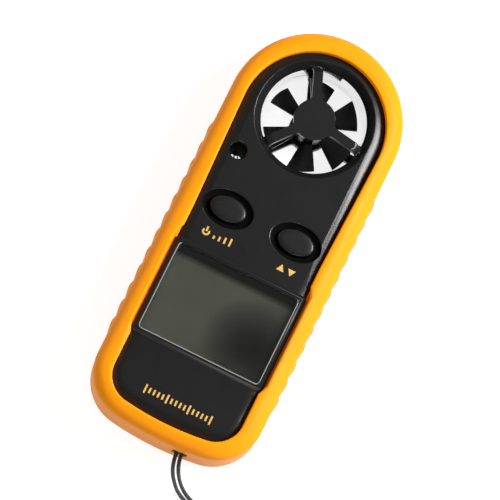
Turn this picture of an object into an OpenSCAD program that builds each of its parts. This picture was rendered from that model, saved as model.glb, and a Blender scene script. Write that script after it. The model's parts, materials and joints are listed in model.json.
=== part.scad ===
// Handheld weather meter: a vane anemometer with a display and two buttons, in a rubber sleeve.
// Millimetres. It lies on its back: +Z leaves the front face, +Y points to the fan end.
// The origin is the middle of the outline, on the surface that it rests on.

/* [Instrument] */
// Width of the bare instrument
body_w = 40; // [38:0.5:43]
// Length of the bare instrument
body_l = 106; // [100:1:116]
// Thickness of the bare instrument
body_t = 15; // [14.6:0.1:17]
// Wall of both housings
wall = 1.6; // [1.3:0.1:1.8]
// Height of the tongue that joins the two housings
tongue_h = 0.8; // [0.6:0.1:1]
// Roundness of the front edge
front_edge = 5; // [4:0.1:5]
// Roundness of the back edge
back_edge = 4; // [3:0.1:4.5]
// Radius of the two lower corners
body_corner = 10; // [9:0.5:12]
// Radius of the bowed foot
body_bow = 78; // [60:1:120]

/* [Sleeve] */
// Rubber around the sides, the top and the foot
sleeve_side = 2; // [1.6:0.1:3]
// Rubber over the front and back faces
sleeve_lip = 1.6; // [1.2:0.1:2.2]
// How far the lip laps over the face beside the fan
lap_side = 2.1; // [1.8:0.1:2.6]
// How much more it laps at the lower corners
lap_taper = 1.2; // [0.6:0.1:1.4]
// How far the lip laps over the face at the top
lap_top = 3.9; // [3.6:0.1:4.6]
// How far the lip laps over the face at the foot
lap_foot = 1.9; // [1.5:0.1:3]
// Radius of the lower corners of the opening
lap_corner = 6.7; // [5:0.1:8]
// Roundness of the front edge of the sleeve
sleeve_front_edge = 3.8; // [3:0.1:4]
// Roundness of the back edge of the sleeve
sleeve_back_edge = 2.4; // [2:0.1:3]
// Roundness of the edge of the opening
lip_edge = 0.5; // [0.4:0.1:0.8]
// Gap around the bezel in the sleeve's notch
notch_gap = 0.5; // [0.2:0.1:0.6]
// Number of grip ridges on each side
ridge_count = 12; // [8:1:13]
// Distance from ridge to ridge
ridge_pitch = 4.9; // [4.5:0.1:5.2]
// Length of one ridge
ridge_l = 4; // [3:0.1:4.3]
// How far a ridge stands out
ridge_h = 0.5; // [0.2:0.1:0.6]
// Distance of the first ridge below the fan
ridge_drop = 13; // [10:1:20]

/* [Fan] */
// Distance from the side of the instrument to the dish
dish_side = 5.3; // [5:0.1:5.8]
// How much larger the dish is than the duct
dish_flare = 1.6; // [1.2:0.1:2]
// Depth of the dish
dish_depth = 2.6; // [2:0.1:3]
// Wall of the duct tube
duct_wall = 1.5; // [1.2:0.1:1.8]
// Thickness of the metal liner
liner_t = 0.4; // [0.3:0.05:0.5]
// Radius of the guard hubs
hub_r = 5.2; // [4.5:0.1:6]
// Thickness of the guard hubs
hub_t = 2.6; // [2.2:0.1:2.8]
// Width of a guard spoke
spoke_w = 2.3; // [1.8:0.1:3]
// Thickness of a guard spoke
spoke_t = 1.8; // [1.5:0.1:2.2]
// Radius of the fillets at both ends of a spoke
spoke_fillet = 1.4; // [0.8:0.1:1.6]
// Direction of the first spoke
spoke_turn = 111; // [90:1:130]
// Number of blades
blade_count = 6; // [4:1:7]
// Gap from the blade tips to the liner
tip_gap = 1.4; // [1:0.1:2]
// Angle that one blade covers
blade_arc = 34; // [28:1:38]
// Pitch of the blades
blade_pitch = 36; // [28:1:40]
// Thickness of a blade
blade_t = 0.5; // [0.4:0.1:0.8]
// Direction of the first blade
blade_turn = 41; // [0:1:60]
// Radius of the impeller hub
rotor_r = 4.2; // [3.8:0.1:4.8]
// Length of the impeller hub
rotor_l = 5.2; // [4.8:0.1:5.6]
// Gap from the rear hub to the impeller
rotor_gap = 1; // [0.8:0.1:1.5]
// Radius of the shaft
shaft_r = 0.5; // [0.4:0.05:0.6]
// Radius of a jewel bearing
jewel_r = 1.2; // [1:0.1:1.5]
// Thickness of a jewel bearing
jewel_t = 1.2; // [1:0.1:1.4]
// Radius of the rotor magnet
magnet_r = 2.6; // [2:0.1:3]
// Thickness of the rotor magnet
magnet_t = 1.6; // [1.2:0.1:2]

/* [Display] */
// Distance from the side of the instrument to the lens
lens_side = 3.8; // [3.6:0.1:4.4]
// Distance of the upper edge of the lens below the fan
lens_drop = 42.2; // [41:0.1:44]
// Distance of the lower edge of the lens above the foot
lens_rise = 20.2; // [19:0.1:23]
// Thickness of the clear lens
lens_t = 1.2; // [1:0.1:1.4]
// Corner radius of the lens
lens_corner = 1.2; // [0.6:0.1:2]
// Bezel beyond the lens on every side
bezel_rim = 1.6; // [1.3:0.1:1.8]
// Rise of the bezel above the face
bezel_rise = 0.8; // [0.6:0.1:1]
// Lens beyond the window on every side
window_rim = 0.5; // [0.4:0.1:1]
// Lens beyond the display glass at the sides
lcd_side = 0.2; // [0.2:0.1:0.8]
// Display glass beyond the lens at the top and the foot
lcd_end = 0.7; // [0.4:0.1:0.8]
// Thickness of the display glass
lcd_t = 1.9; // [1.6:0.1:2]
// Thickness of the light plate behind the display glass
backlight_t = 1.35; // [1:0.05:1.5]
// Wall of the display holder
holder_wall = 0.7; // [0.6:0.05:0.8]
// Width of a contact strip
strip_w = 1.8; // [1.4:0.1:2]

/* [Buttons] */
// Distance from the side of the instrument to the middle of a button
button_side = 10.8; // [10.4:0.1:11.2]
// Distance of the buttons below the fan
button_drop = 29.8; // [29:0.1:31]
// Width of a button
button_w = 9.5; // [8.5:0.1:10]
// Height of a button
button_h = 6.2; // [5.5:0.1:6.6]
// Width of the dish around a button
well_w = 13.3; // [12.6:0.1:13.8]
// Height of the dish around a button
well_h = 9.3; // [9:0.1:10]
// Depth of the dish around a button
well_depth = 1.3; // [1:0.1:1.5]
// How far a button stands above the face
button_rise = 0.2; // [0:0.1:0.6]
// Travel of a button
button_travel = 0.6; // [0.4:0.1:0.7]
// Gap around a button in its hole
button_gap = 0.15; // [0.1:0.05:0.25]

/* [Temperature hole] */
// Distance from the side of the instrument to the middle of the hole
vent_side = 6.6; // [6.4:0.1:7]
// Distance of the hole's middle below the dish
vent_gap = 0.8; // [0.5:0.1:1.6]
// Radius of the hole
vent_r = 2.1; // [1.8:0.1:2.2]
// Wall of the tube around the hole
vent_wall = 1; // [0.8:0.1:1.1]
// Chamfer of the hole
vent_chamfer = 0.4; // [0.2:0.1:0.5]
// Radius of the temperature bead
bead_r = 0.7; // [0.5:0.1:0.8]

/* [Battery] */
// Radius of the coin cell
cell_r = 10; // [10:0.1:10.4]
// Thickness of the coin cell
cell_t = 3.2; // [2.5:0.1:3.2]
// Distance of the coin cell's middle above the foot
battery_rise = 26; // [25:0.5:28]
// Thickness of the battery cover flange
cover_t = 0.9; // [0.7:0.1:1]
// Width of the coin slot
coin_slot_w = 1.8; // [1.4:0.1:2.2]
// Length of the coin slot
coin_slot_l = 13; // [9:0.5:15]
// Number of bayonet lugs
lug_count = 3; // [2:1:4]
// Angle that one lug covers
lug_arc = 24; // [16:1:28]
// Turn that frees the cover
cover_turn = 40; // [36:1:44]
// Thickness of the contact sheet
contact_t = 0.3; // [0.2:0.05:0.35]
// Width of the contacts
contact_w = 3.4; // [2.5:0.1:4]

/* [Board and screws] */
// Thickness of the circuit board
board_t = 1; // [0.8:0.1:1.2]
// Radius of a housing screw boss
boss_r = 2.2; // [2:0.1:2.3]
// Shank radius of the screws
screw_r = 0.83; // [0.7:0.01:0.9]
// Head radius of the housing screws
screw_head_r = 1.8; // [1.6:0.1:1.9]
// Head height of the screws
screw_head_h = 1.3; // [1:0.1:1.4]
// Depth of the wells of the housing screws
screw_well = 3.4; // [3:0.1:3.8]
// Distance from the side of the instrument to the upper housing screws
upper_screw_side = 5.4; // [5.2:0.1:5.8]
// Distance of the upper housing screws below the dish
upper_screw_gap = 6.9; // [6.7:0.1:7.1]
// Distance from the side of the instrument to the lower housing screws
lower_screw_side = 6.8; // [6.4:0.1:7.2]
// Distance of the lower housing screws above the foot
lower_screw_rise = 7; // [6.8:0.1:8]
// Distance from the side of the instrument to the lower board screws
board_screw_side = 5.5; // [5.3:0.1:5.8]
// Distance of the lower board screws above the foot
board_screw_rise = 13.4; // [13:0.1:14]
// Distance of the upper board screw below the dish
board_screw_gap = 6.8; // [6:0.1:7.4]

/* [Lanyard] */
// Distance from the side of the instrument to the lanyard post
post_side = 13.6; // [13:0.1:15]
// Distance of the post above the foot of the instrument
post_rise = 3.4; // [3.2:0.1:3.8]
// Radius of the lanyard post
post_r = 1.5; // [1.2:0.1:1.5]
// Diameter of the lanyard string
string_d = 1; // [0.8:0.1:1]

/* [Hidden] */
$fn = 48;

// Clearance between pieces that sit in each other
seat = 0.05;
// Clearance between pieces that slide or turn on each other
slip = 0.1;
// Clearance between pieces that are pressed together
press = 0.01;
// Overshoot of a cut past the face that it leaves
over = 1;

// Heights, from the resting surface up
z_back = sleeve_lip;
z_face = z_back + body_t;
z_top = z_face + sleeve_lip;
z_split = z_back + body_t / 2;
z_floor = z_back + wall;
z_ceiling = z_face - wall;
board_lift = 0.2;
z_board = z_split + board_lift;
z_board_top = z_board + board_t;
z_bezel = z_face + bezel_rise;
// How far a boss, a tube or a rib runs into the wall that carries it
root = 0.5;

// Places across and along
half_w = body_w / 2;
half_l = body_l / 2 + sleeve_side;
fan_y = half_l - sleeve_side - half_w;
foot_y = -body_l / 2;
dish_r = half_w - dish_side;
duct_r = dish_r - dish_flare;
lens_w = body_w - 2 * lens_side;
lens_h = fan_y - lens_drop - foot_y - lens_rise;
display_y = foot_y + lens_rise + lens_h / 2;
button_x = half_w - button_side;
button_y = fan_y - button_drop;
vent_x = half_w - vent_side;
vent_y = fan_y - dish_r - vent_gap;
battery_y = foot_y + battery_rise;
post_x = half_w - post_side;
post_y = foot_y + post_rise;

// Outlines: [half width, centre of the top arc, foot, corner radius, radius of the bow, taper of a side]
BODY = [half_w, fan_y, foot_y, body_corner, body_bow, 0];
INSIDE = grow(BODY, -wall);
OUTER = grow(BODY, sleeve_side);
lap_w = half_w - lap_side;
OPENING = [lap_w, fan_y + half_w - lap_top - lap_w, foot_y + lap_foot, lap_corner, body_bow - lap_foot, lap_taper];

// Fan
tube_r = duct_r + liner_t + seat + duct_wall;
liner_bottom = z_back + dish_depth;
liner_top = z_face - dish_depth;
blade_tip_r = duct_r - tip_gap;
rotor_z = z_back + hub_t + rotor_gap;
cup_depth = 0.5;
jewel_inset = 0.1;
shaft_low = z_back + hub_t - jewel_inset - cup_depth + slip;
shaft_high = z_face - hub_t + jewel_inset + cup_depth - slip;
guard_drop = 0.15;

// Display stack
window_w = lens_w - 2 * window_rim;
window_h = lens_h - 2 * window_rim;
window_corner = 0.8;
lcd_w = lens_w - 2 * lcd_side;
lcd_h = lens_h + 2 * lcd_end;
lcd_drop = 0.5;
lens_seat = z_bezel - lens_t;
lcd_top = z_ceiling - lcd_drop;
lcd_bottom = lcd_top - lcd_t;
bezel_w = lens_w + 2 * bezel_rim + slip * 2;
bezel_h = lens_h + 2 * bezel_rim;
strip_inset = 0.4;
strip_y = lcd_h / 2 - strip_w / 2 - strip_inset;

// Buttons
collar_t = 1;
collar_top = z_face - well_depth - collar_t;
flange_t = 0.8;
flange_rim = 0.9;
dome_r = 3;
pressed_dome_h = 1;
dome_h = pressed_dome_h + button_travel;

// Battery
cover_rim = 1.8;
plug_rim = 0.8;
bay_wall = 1.3;
cover_r = cell_r + cover_rim;
plug_r = cell_r + plug_rim;
bay_r = cover_r + bay_wall;
lug_t = 0.7;
z_plug = z_floor + slip + lug_t;
z_cell = z_plug + seat;
bay_top = z_cell + cell_t + root;

// Screws
SCREWS = [
    [upper_screw_side - half_w, fan_y - dish_r - upper_screw_gap],
    [half_w - upper_screw_side, fan_y - dish_r - upper_screw_gap],
    [lower_screw_side - half_w, foot_y + lower_screw_rise],
    [half_w - lower_screw_side, foot_y + lower_screw_rise]
];
screw_seat = z_back + screw_well;
screw_l = z_ceiling - 2 * over - screw_seat;
BOARD_SCREWS = [
    [0, fan_y - dish_r - board_screw_gap],
    [board_screw_side - half_w, foot_y + board_screw_rise],
    [half_w - board_screw_side, foot_y + board_screw_rise]
];
board_post_r = 1.6;
board_head_r = 1.5;
board_head_h = 1;
board_screw_l = z_ceiling - 1.7 * over - z_board;
bore_end = z_ceiling - 0.7;

// Lanyard: both strands' routes from the post to the coil, and the coil of what is stored.
// A row holds the way right of the post, the way above it along the instrument, and the height.
string_r = string_d / 2;
string_turn = post_r + string_r + 0.02;
string_z = z_split + 0.1;
pocket_play = 0.2;
pocket_h = 3 * string_d;
block_end = post_y + string_turn + string_r + pocket_play + wall;
STRING_A = [
    [-2, 0, string_z], [-1.9, -1.4, string_z], [-1.4, -3.4, string_z], [-0.7, -5.4, z_split],
    [-0.3, -7.4, z_split - 0.5], [0.5, -9.4, z_split - 2.1], [2, -11.2, 4.4], [4, -12.7, 1.9],
    [6.3, -13.7, string_r + 0.2], [8.6, -14.4, string_r], [11.2, -14.9, string_r],
    [14.2, -15.2, string_r], [17.6, -15.3, string_r]
];
STRING_B = [
    [2, -0.08, string_z], [1.9, -1.4, string_z], [1.4, -3.4, string_z], [0.7, -5.4, z_split],
    [1, -7.2, z_split - 0.6], [1.8, -8.9, z_split - 2.2], [3.1, -10.4, 4.4], [4.9, -11.7, 1.9],
    [7, -12.7, string_r + 0.2], [9.1, -13.3, string_r], [11.6, -13.8, string_r],
    [14.4, -14.1, string_r], [17.6, -14.2, string_r]
];
coil_r = 6 * string_d;
coil_w = 3.2 * string_d;
coil_h = 3 * string_d;
coil_x = post_x + 17.6;
coil_y = post_y - 15.3 - coil_r;
knot_r = 1.4 * string_d;

// ---------------------------------------------------------------- shapes

// An outline grown or shrunk by d on every side
function grow(s, d) = [s[0] + d, s[1], s[2] - d, s[3] + d, s[4] + d, s[5]];

// Points of an arc about (cx, cy) from angle a to angle b, in n steps
function arc_points(cx, cy, r, a, b, n) =
    [for (i = [0:n]) [cx + r * cos(a + (b - a) * i / n), cy + r * sin(a + (b - a) * i / n)]];

// The bar outline: round top, straight sides that close in by the taper, round corners and a bowed foot
function bar_points(s, top_steps = 30, corner_steps = 9, foot_steps = 5) =
    let (inner_w = s[0] - s[5] - s[3], inner_bow = s[4] - s[3], half = asin(inner_w / inner_bow),
         bow_y = s[2] + s[4], corner_y = bow_y - sqrt(pow(inner_bow, 2) - pow(inner_w, 2)),
         bow = half * (1 - 2 / foot_steps))
    concat(
        arc_points(0, s[1], s[0], 0, 180, top_steps),
        arc_points(-inner_w, corner_y, s[3], 180, 270 - half, corner_steps),
        arc_points(0, bow_y, s[4], 270 - bow, 270 + bow, foot_steps - 2),
        arc_points(inner_w, corner_y, s[3], 270 + half, 360, corner_steps)
    );

// An oval of width w and height h about (x, y)
function oval_points(x, y, w, h, steps = 32) =
    [for (i = [0:steps - 1]) [x + w / 2 * cos(360 * i / steps), y + h / 2 * sin(360 * i / steps)]];

// A solid through rings of points that all have the same number of points
module loft(rings) {
    n = len(rings[0]);
    m = len(rings);
    bottom = [for (i = [0:n - 1]) i];
    top = [for (i = [n - 1:-1:0]) (m - 1) * n + i];
    sides = [for (j = [0:m - 2], i = [0:n - 1]) each let (k = (i + 1) % n) [
        [j * n + i, (j + 1) * n + i, (j + 1) * n + k],
        [j * n + i, (j + 1) * n + k, j * n + k]
    ]];
    polyhedron([for (r = rings) each r], concat([bottom], sides, [top]), convexity = 6);
}

// Levels [inset, height] of a plate from z0 to z1 with a rounded bottom and a rounded top edge
function rounded_levels(z0, z1, bottom_r, top_r, steps = 4) = concat(
    [for (i = [0:steps]) let (a = 90 * i / steps) [bottom_r * (1 - sin(a)), z0 + bottom_r * (1 - cos(a))]],
    [for (i = [0:steps]) let (a = 90 * i / steps) [top_r * (1 - cos(a)), z1 - top_r * (1 - sin(a))]]
);

// A plate of the bar outline through levels [inset, height]
module bar_plate(s, levels) {
    loft([for (l = levels) [for (p = bar_points(grow(s, -l[0]))) [p[0], p[1], l[1]]]]);
}

// A plate of an oval through levels [inset, height]
module oval_plate(x, y, w, h, levels) {
    loft([for (l = levels) [for (p = oval_points(x, y, w - 2 * l[0], h - 2 * l[0])) [p[0], p[1], l[1]]]]);
}

// A flat rectangle with round corners, about the origin
module round_rect(w, h, r) {
    square([w - 2 * r, h], center = true);
    square([w, h - 2 * r], center = true);
    for (x = [-1, 1], y = [-1, 1])
        translate([x * (w / 2 - r), y * (h / 2 - r)]) circle(r);
}

// A ring of an outer and an inner radius
module ring(outer_r, inner_r, h) {
    linear_extrude(h) difference() {
        circle(outer_r);
        circle(inner_r);
    }
}

// The frame of a cross-section along a route: at each point the side and the up direction
function unit(v) = v / norm(v);
function along(route, i) = unit(route[min(i + 1, len(route) - 1)] - route[max(i - 1, 0)]);

// A tube of radius r swept along a route
module tube(route, r, sides = 8) {
    loft([for (i = [0:len(route) - 1])
        let (t = along(route, i), u = unit(cross([0, 0, 1], t)), v = cross(t, u))
        [for (k = [0:sides - 1]) route[i] - r * cos(360 * k / sides) * u + r * sin(360 * k / sides) * v]]);
}

// ---------------------------------------------------------------- sleeve

module sleeve_ridges() {
    ridge_r = (pow(ridge_l / 2, 2) + pow(ridge_h, 2)) / (2 * ridge_h);
    ridge_z0 = sleeve_back_edge + ridge_h;
    ridge_z1 = z_top - sleeve_front_edge - ridge_h / 2;
    taper = ridge_r - 1.5 * ridge_h;
    for (s = [0, 1], i = [0:ridge_count - 1])
        mirror([s, 0, 0])
            translate([OUTER[0] + ridge_h - ridge_r, fan_y - ridge_drop - i * ridge_pitch, 0])
                intersection() {
                    union() {
                        translate([0, 0, ridge_z0]) cylinder(h = ridge_z1 - ridge_z0, r = ridge_r);
                        translate([0, 0, ridge_z1]) cylinder(h = 1, r1 = ridge_r, r2 = taper);
                        translate([0, 0, ridge_z0 - 1]) cylinder(h = 1, r1 = taper, r2 = ridge_r);
                    }
                    translate([ridge_r - sleeve_side / 2 - ridge_h, -ridge_l, 0])
                        cube([sleeve_side, 2 * ridge_l, z_top]);
                }
}

// The notch that frees the raised bezel, with slanted ends
module bezel_notch() {
    w = bezel_w / 2 + notch_gap;
    h = bezel_h / 2;
    end_w = lap_w - lap_taper;
    end_h = h + 2 * (w - end_w);
    translate([0, display_y, z_face - front_edge]) linear_extrude(body_t) polygon([
        [-w, -h], [-end_w, -end_h], [end_w, -end_h], [w, -h],
        [w, h], [end_w, end_h], [-end_w, end_h], [-w, h]
    ]);
}

module sleeve() {
    lip_z = z_top - lip_edge;
    color("#f58410") difference() {
        union() {
            bar_plate(OUTER, rounded_levels(0, z_top, sleeve_back_edge, sleeve_front_edge, 5));
            sleeve_ridges();
        }
        bar_plate(BODY, [for (l = rounded_levels(z_back, z_face, back_edge, front_edge)) [l[0] - seat, l[1]]]);
        bar_plate(OPENING, [
            [-lip_edge, -over], [-lip_edge, 0], [-0.3 * lip_edge, 0.3 * lip_edge], [0, lip_edge],
            [0, lip_z], [-0.3 * lip_edge, z_top - 0.3 * lip_edge], [-lip_edge, z_top], [-lip_edge, z_top + over]
        ]);
        bezel_notch();
        translate([post_x, foot_y, z_split])
            cube([3.8 * string_d, 4 * sleeve_side, 4 * string_d], center = true);
    }
}

// ---------------------------------------------------------------- fan guard and duct

// Flat plan of the three spokes, from the hub into the dish, with fillets at both ends
module spoke_plan() {
    half = spoke_w / 2;
    f = spoke_fillet;
    flare_r = (duct_r + dish_r) / 2;
    near = sqrt(pow(hub_r, 2) - pow(half + f, 2));
    far = sqrt(pow(flare_r, 2) - pow(half + f, 2));
    bite = 0.3;
    intersection() {
        circle(dish_r + bite);
        for (k = [0:2]) rotate(spoke_turn + 120 * k) {
            translate([hub_r - 1, -half]) square([dish_r - hub_r + 2, spoke_w]);
            for (s = [0, 1]) mirror([0, s]) {
                difference() {
                    translate([near - 0.5, half - 0.1]) square([f + 0.5, f + 0.1]);
                    translate([near + f, half + f]) circle(f);
                }
                difference() {
                    translate([far - f, half - 0.1]) square([f + 3, f + 0.1]);
                    translate([far - f, half + f]) circle(f);
                }
            }
        }
    }
}

// What the spokes keep of their plan: they bend down at the outer end, into the wall of the dish
module spoke_heights() {
    bend_r = duct_r - dish_flare;
    end_r = duct_r + dish_flare / 2;
    low = slip - dish_depth;
    rotate_extrude() polygon([
        [0, -spoke_t], [bend_r, -spoke_t], [duct_r, low], [end_r, low],
        [end_r, -0.8 * dish_depth], [duct_r, -dish_depth / 2], [duct_r - dish_flare / 2, -dish_depth / 4],
        [bend_r, -guard_drop], [0, -guard_drop]
    ]);
}

// The guard. Its outer face lies guard_drop below height 0, which is the instrument's face.
module guard() {
    edge = 0.3;
    rotate_extrude() polygon(concat(
        [[0, -hub_t], [hub_r - edge, -hub_t], [hub_r, edge - hub_t]],
        arc_points(hub_r - edge, -guard_drop - edge, edge, 0, 90, 3), [[0, -guard_drop]]
    ));
    intersection() {
        translate([0, 0, -dish_depth]) linear_extrude(dish_depth) spoke_plan();
        spoke_heights();
    }
}

// The jewel's pocket in the guard hub, open to the rotor
module guard_pocket() {
    translate([0, 0, -hub_t - over])
        cylinder(h = jewel_t + jewel_inset + over + seat, r = jewel_r + seat / 2);
}

// The air passage from the face down to the middle of the duct, with its dish and the liner's seat
module air_passage(depth) {
    lip = 0.35;
    rotate_extrude() polygon(concat(
        [[0, over], [dish_r + lip, over], [dish_r + lip, 0]],
        arc_points(dish_r + lip, -lip, lip, 90, 160, 4),
        [[duct_r, -dish_depth], [duct_r + liner_t + seat, -dish_depth]],
        [[duct_r + liner_t + seat, -depth], [0, -depth]]
    ));
}

module vent_passage(depth) {
    rise = 0.01;
    translate([0, 0, -depth]) cylinder(h = depth + over, r = vent_r);
    translate([0, 0, -vent_chamfer]) cylinder(h = vent_chamfer + rise, r1 = vent_r, r2 = vent_r + vent_chamfer);
}

// ---------------------------------------------------------------- housings

module half_shell(z0, z1, rounded, cavity) {
    difference() {
        intersection() {
            bar_plate(BODY, rounded);
            translate([0, 0, (z0 + z1) / 2]) cube([2 * body_w, 2 * body_l, z1 - z0], center = true);
        }
        bar_plate(INSIDE, cavity);
    }
}

// A thin wall along the bar outline, between two outlines
module bar_ring(outer_s, inner_s, z0, z1) {
    difference() {
        bar_plate(outer_s, [[0, z0], [0, z1]]);
        bar_plate(inner_s, [[0, z0 - over], [0, z1 + over]]);
    }
}

// The block around the lanyard post, kept inside the rounded outer wall
module lanyard_block(z0, z1) {
    w = 2 * (string_turn + string_r + pocket_play + wall);
    intersection() {
        translate([post_x - w / 2, foot_y, z0]) cube([w, block_end - foot_y, z1 - z0]);
        bar_plate(grow(BODY, -wall / 2), rounded_levels(z_back + wall / 2, z_face - wall / 2, back_edge, front_edge));
    }
}

module lanyard_pocket(z0, z1) {
    w = 2 * (string_turn + string_r + pocket_play);
    translate([post_x - w / 2, foot_y - over, z0])
        cube([w, block_end - wall - foot_y + over, z1 - z0]);
}

module front_housing() {
    post_h = z_ceiling + root - z_split;
    bore_r = screw_r + 0.02;
    color("#2b2b2b") difference() {
        union() {
            half_shell(z_split, z_face + over,
                rounded_levels(z_back, z_face, back_edge, front_edge),
                rounded_levels(z_split - 2 * over, z_ceiling, over, front_edge - wall));
            translate([0, fan_y, z_split]) cylinder(h = post_h, r = tube_r);
            translate([-vent_x, vent_y, z_split]) cylinder(h = post_h, r = vent_r + vent_wall);
            for (p = SCREWS) translate([p[0], p[1], z_split]) cylinder(h = post_h, r = boss_r);
            for (p = BOARD_SCREWS)
                translate([p[0], p[1], z_board_top]) cylinder(h = z_ceiling + root - z_board_top, r = board_post_r);
            for (x = [-button_x, button_x])
                oval_plate(x, button_y, well_w, well_h, [[0, collar_top], [0, z_ceiling + root]]);
            bezel();
            lanyard_block(z_split, z_ceiling + root);
        }
        bar_ring(grow(INSIDE, wall / 2), grow(INSIDE, -slip), z_split - over, z_split + tongue_h + slip);
        translate([0, fan_y, z_face]) air_passage(z_face - z_split + over);
        translate([-vent_x, vent_y, z_face]) vent_passage(z_face - z_split + over);
        for (p = SCREWS)
            translate([p[0], p[1], z_split - over]) cylinder(h = bore_end - z_split + over, r = bore_r);
        for (p = BOARD_SCREWS)
            translate([p[0], p[1], z_board_top - over]) cylinder(h = bore_end - z_board_top + over, r = bore_r);
        for (x = [-button_x, button_x]) button_well(x);
        translate([0, display_y, lens_seat]) linear_extrude(lens_t + over)
            round_rect(lens_w + 2 * seat, lens_h + 2 * seat, lens_corner);
        translate([0, display_y, z_split]) linear_extrude(body_t) round_rect(window_w, window_h, window_corner);
        lanyard_pocket(z_split - over, z_split + pocket_h);
        thermistor_notch();
    }
    color("#303030") difference() {
        translate([0, fan_y, z_face]) guard();
        translate([0, fan_y, z_face]) guard_pocket();
    }
}

// What is cut for a button: its hole and the dish around it
module button_well(x) {
    bowl_w = 1.6;
    bowl = [for (a = [0:30:90]) [bowl_w * (1 - sin(a)), z_face - well_depth * cos(a)]];
    oval_plate(x, button_y, well_w, well_h, concat(bowl, [[-button_gap, z_face + over]]));
    oval_plate(x, button_y, button_w + 2 * button_gap, button_h + 2 * button_gap, [[0, z_split], [0, z_face]]);
}

// The raised frame around the lens, with slanted flanks
module bezel() {
    flank = bezel_rise;
    w = bezel_w / 2;
    h = bezel_h / 2;
    low = lens_seat - window_corner;
    corner_r = 1;
    translate([0, display_y, 0]) intersection() {
        translate([0, h + 1, 0]) rotate([90, 0, 0]) linear_extrude(2 * h + 2)
            polygon([[-w, low], [w, low], [w, z_face], [w - flank, z_bezel], [flank - w, z_bezel], [-w, z_face]]);
        translate([-w - 1, 0, 0]) rotate([90, 0, 90]) linear_extrude(2 * w + 2)
            polygon([[-h, low], [h, low], [h, z_face], [h - flank, z_bezel], [flank - h, z_bezel], [-h, z_face]]);
        translate([0, 0, low]) linear_extrude(z_bezel - low) round_rect(2 * w, 2 * h, corner_r);
    }
}

module rear_housing() {
    tube_z = z_floor - root;
    tube_h = z_split - tube_z;
    head_r = screw_head_r + 0.25;
    head_wall = 0.75;
    shank_r = screw_r + 0.3;
    color("#262626") difference() {
        union() {
            half_shell(z_back - over, z_split,
                rounded_levels(z_back, z_face, back_edge, front_edge),
                rounded_levels(z_floor, z_split + 2 * over, back_edge - wall, over));
            bar_ring(grow(INSIDE, wall / 2 - slip), INSIDE, z_split - root, z_split + tongue_h);
            translate([0, fan_y, tube_z]) cylinder(h = tube_h, r = tube_r);
            translate([-vent_x, vent_y, tube_z]) cylinder(h = tube_h, r = vent_r + vent_wall);
            for (p = SCREWS) translate([p[0], p[1], tube_z]) cylinder(h = tube_h, r = head_r + head_wall);
            translate([0, battery_y, tube_z]) cylinder(h = bay_top - tube_z, r = bay_r);
            lanyard_block(tube_z, z_split);
        }
        translate([0, fan_y, z_back]) mirror([0, 0, 1]) air_passage(z_split - z_back + over);
        translate([-vent_x, vent_y, z_back]) mirror([0, 0, 1]) vent_passage(z_split - z_back + over);
        for (p = SCREWS) translate([p[0], p[1], 0]) {
            translate([0, 0, z_back - over]) cylinder(h = screw_seat - z_back + over, r = head_r);
            translate([0, 0, z_back]) cylinder(h = body_t, r = shank_r);
        }
        translate([0, battery_y, 0]) battery_bay();
        lanyard_pocket(z_split - pocket_h, z_split + over);
        thermistor_notch();
    }
    translate([post_x, post_y, z_split - pocket_h - root]) color("#262626")
        cylinder(h = 2 * pocket_h + root - slip, r = post_r);
    color("#303030") translate([0, fan_y, z_back]) mirror([0, 0, 1]) difference() {
        guard();
        guard_pocket();
    }
}

// What is cut for the cover and the cell: recess, throat, bayonet ring, cell seat and contact slot
module battery_bay() {
    rise = 0.01;
    lug_play = 3;
    cell_play = 0.35;
    ledge = 1.2;
    spring_play = 0.3;
    translate([0, 0, z_back - over]) cylinder(h = cover_t + slip + over, r = cover_r + slip);
    translate([0, 0, z_back]) cylinder(h = wall + rise, r = plug_r + slip);
    translate([0, 0, z_floor]) cylinder(h = lug_t + 2 * slip, r = cover_r + 2.5 * slip);
    translate([0, 0, z_floor]) cylinder(h = z_cell + cell_t + slip - z_floor, r = cell_r + cell_play);
    translate([0, 0, z_floor]) cylinder(h = body_t, r = cell_r - ledge);
    for (k = [0:lug_count - 1]) rotate(-cover_turn + 360 / lug_count * k)
        translate([0, 0, z_back]) linear_extrude(wall + rise)
            lug_plan(lug_arc + lug_play, cover_r + 2 * slip);
    translate([cell_r - contact_w / 2, -contact_w / 2 - spring_play, z_cell + 4 * slip])
        cube([contact_w, contact_w + 2 * spring_play, body_t]);
}

// A slice of a disc, cut down to the angle of a lug
module lug_plan(angle, r) {
    polygon(concat([[0, 0]], arc_points(0, 0, r, -angle / 2, angle / 2, 8)));
}

module battery_cover() {
    coin_slot_depth = 1;
    cell_dish_depth = 0.6;
    cell_dish_rim = 2.5;
    color("#1f1f1f") translate([0, battery_y, 0]) difference() {
        union() {
            translate([0, 0, z_back]) cylinder(h = cover_t, r = cover_r);
            translate([0, 0, z_back]) cylinder(h = z_plug - z_back, r = plug_r);
            for (k = [0:lug_count - 1]) rotate(360 / lug_count * k)
                translate([0, 0, z_floor + slip]) linear_extrude(lug_t) lug_plan(lug_arc, cover_r);
        }
        translate([0, 0, z_back - over]) linear_extrude(coin_slot_depth + over)
            round_rect(coin_slot_l, coin_slot_w, 0.49 * coin_slot_w);
        translate([0, 0, z_plug - cell_dish_depth]) cylinder(h = cell_dish_depth + over, r = cell_r - cell_dish_rim);
    }
}

// ---------------------------------------------------------------- rotor

module duct_liner() {
    color("#d8dade") translate([0, fan_y, liner_bottom + seat])
        ring(duct_r + liner_t, duct_r, liner_top - liner_bottom - 2 * seat);
}

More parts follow.
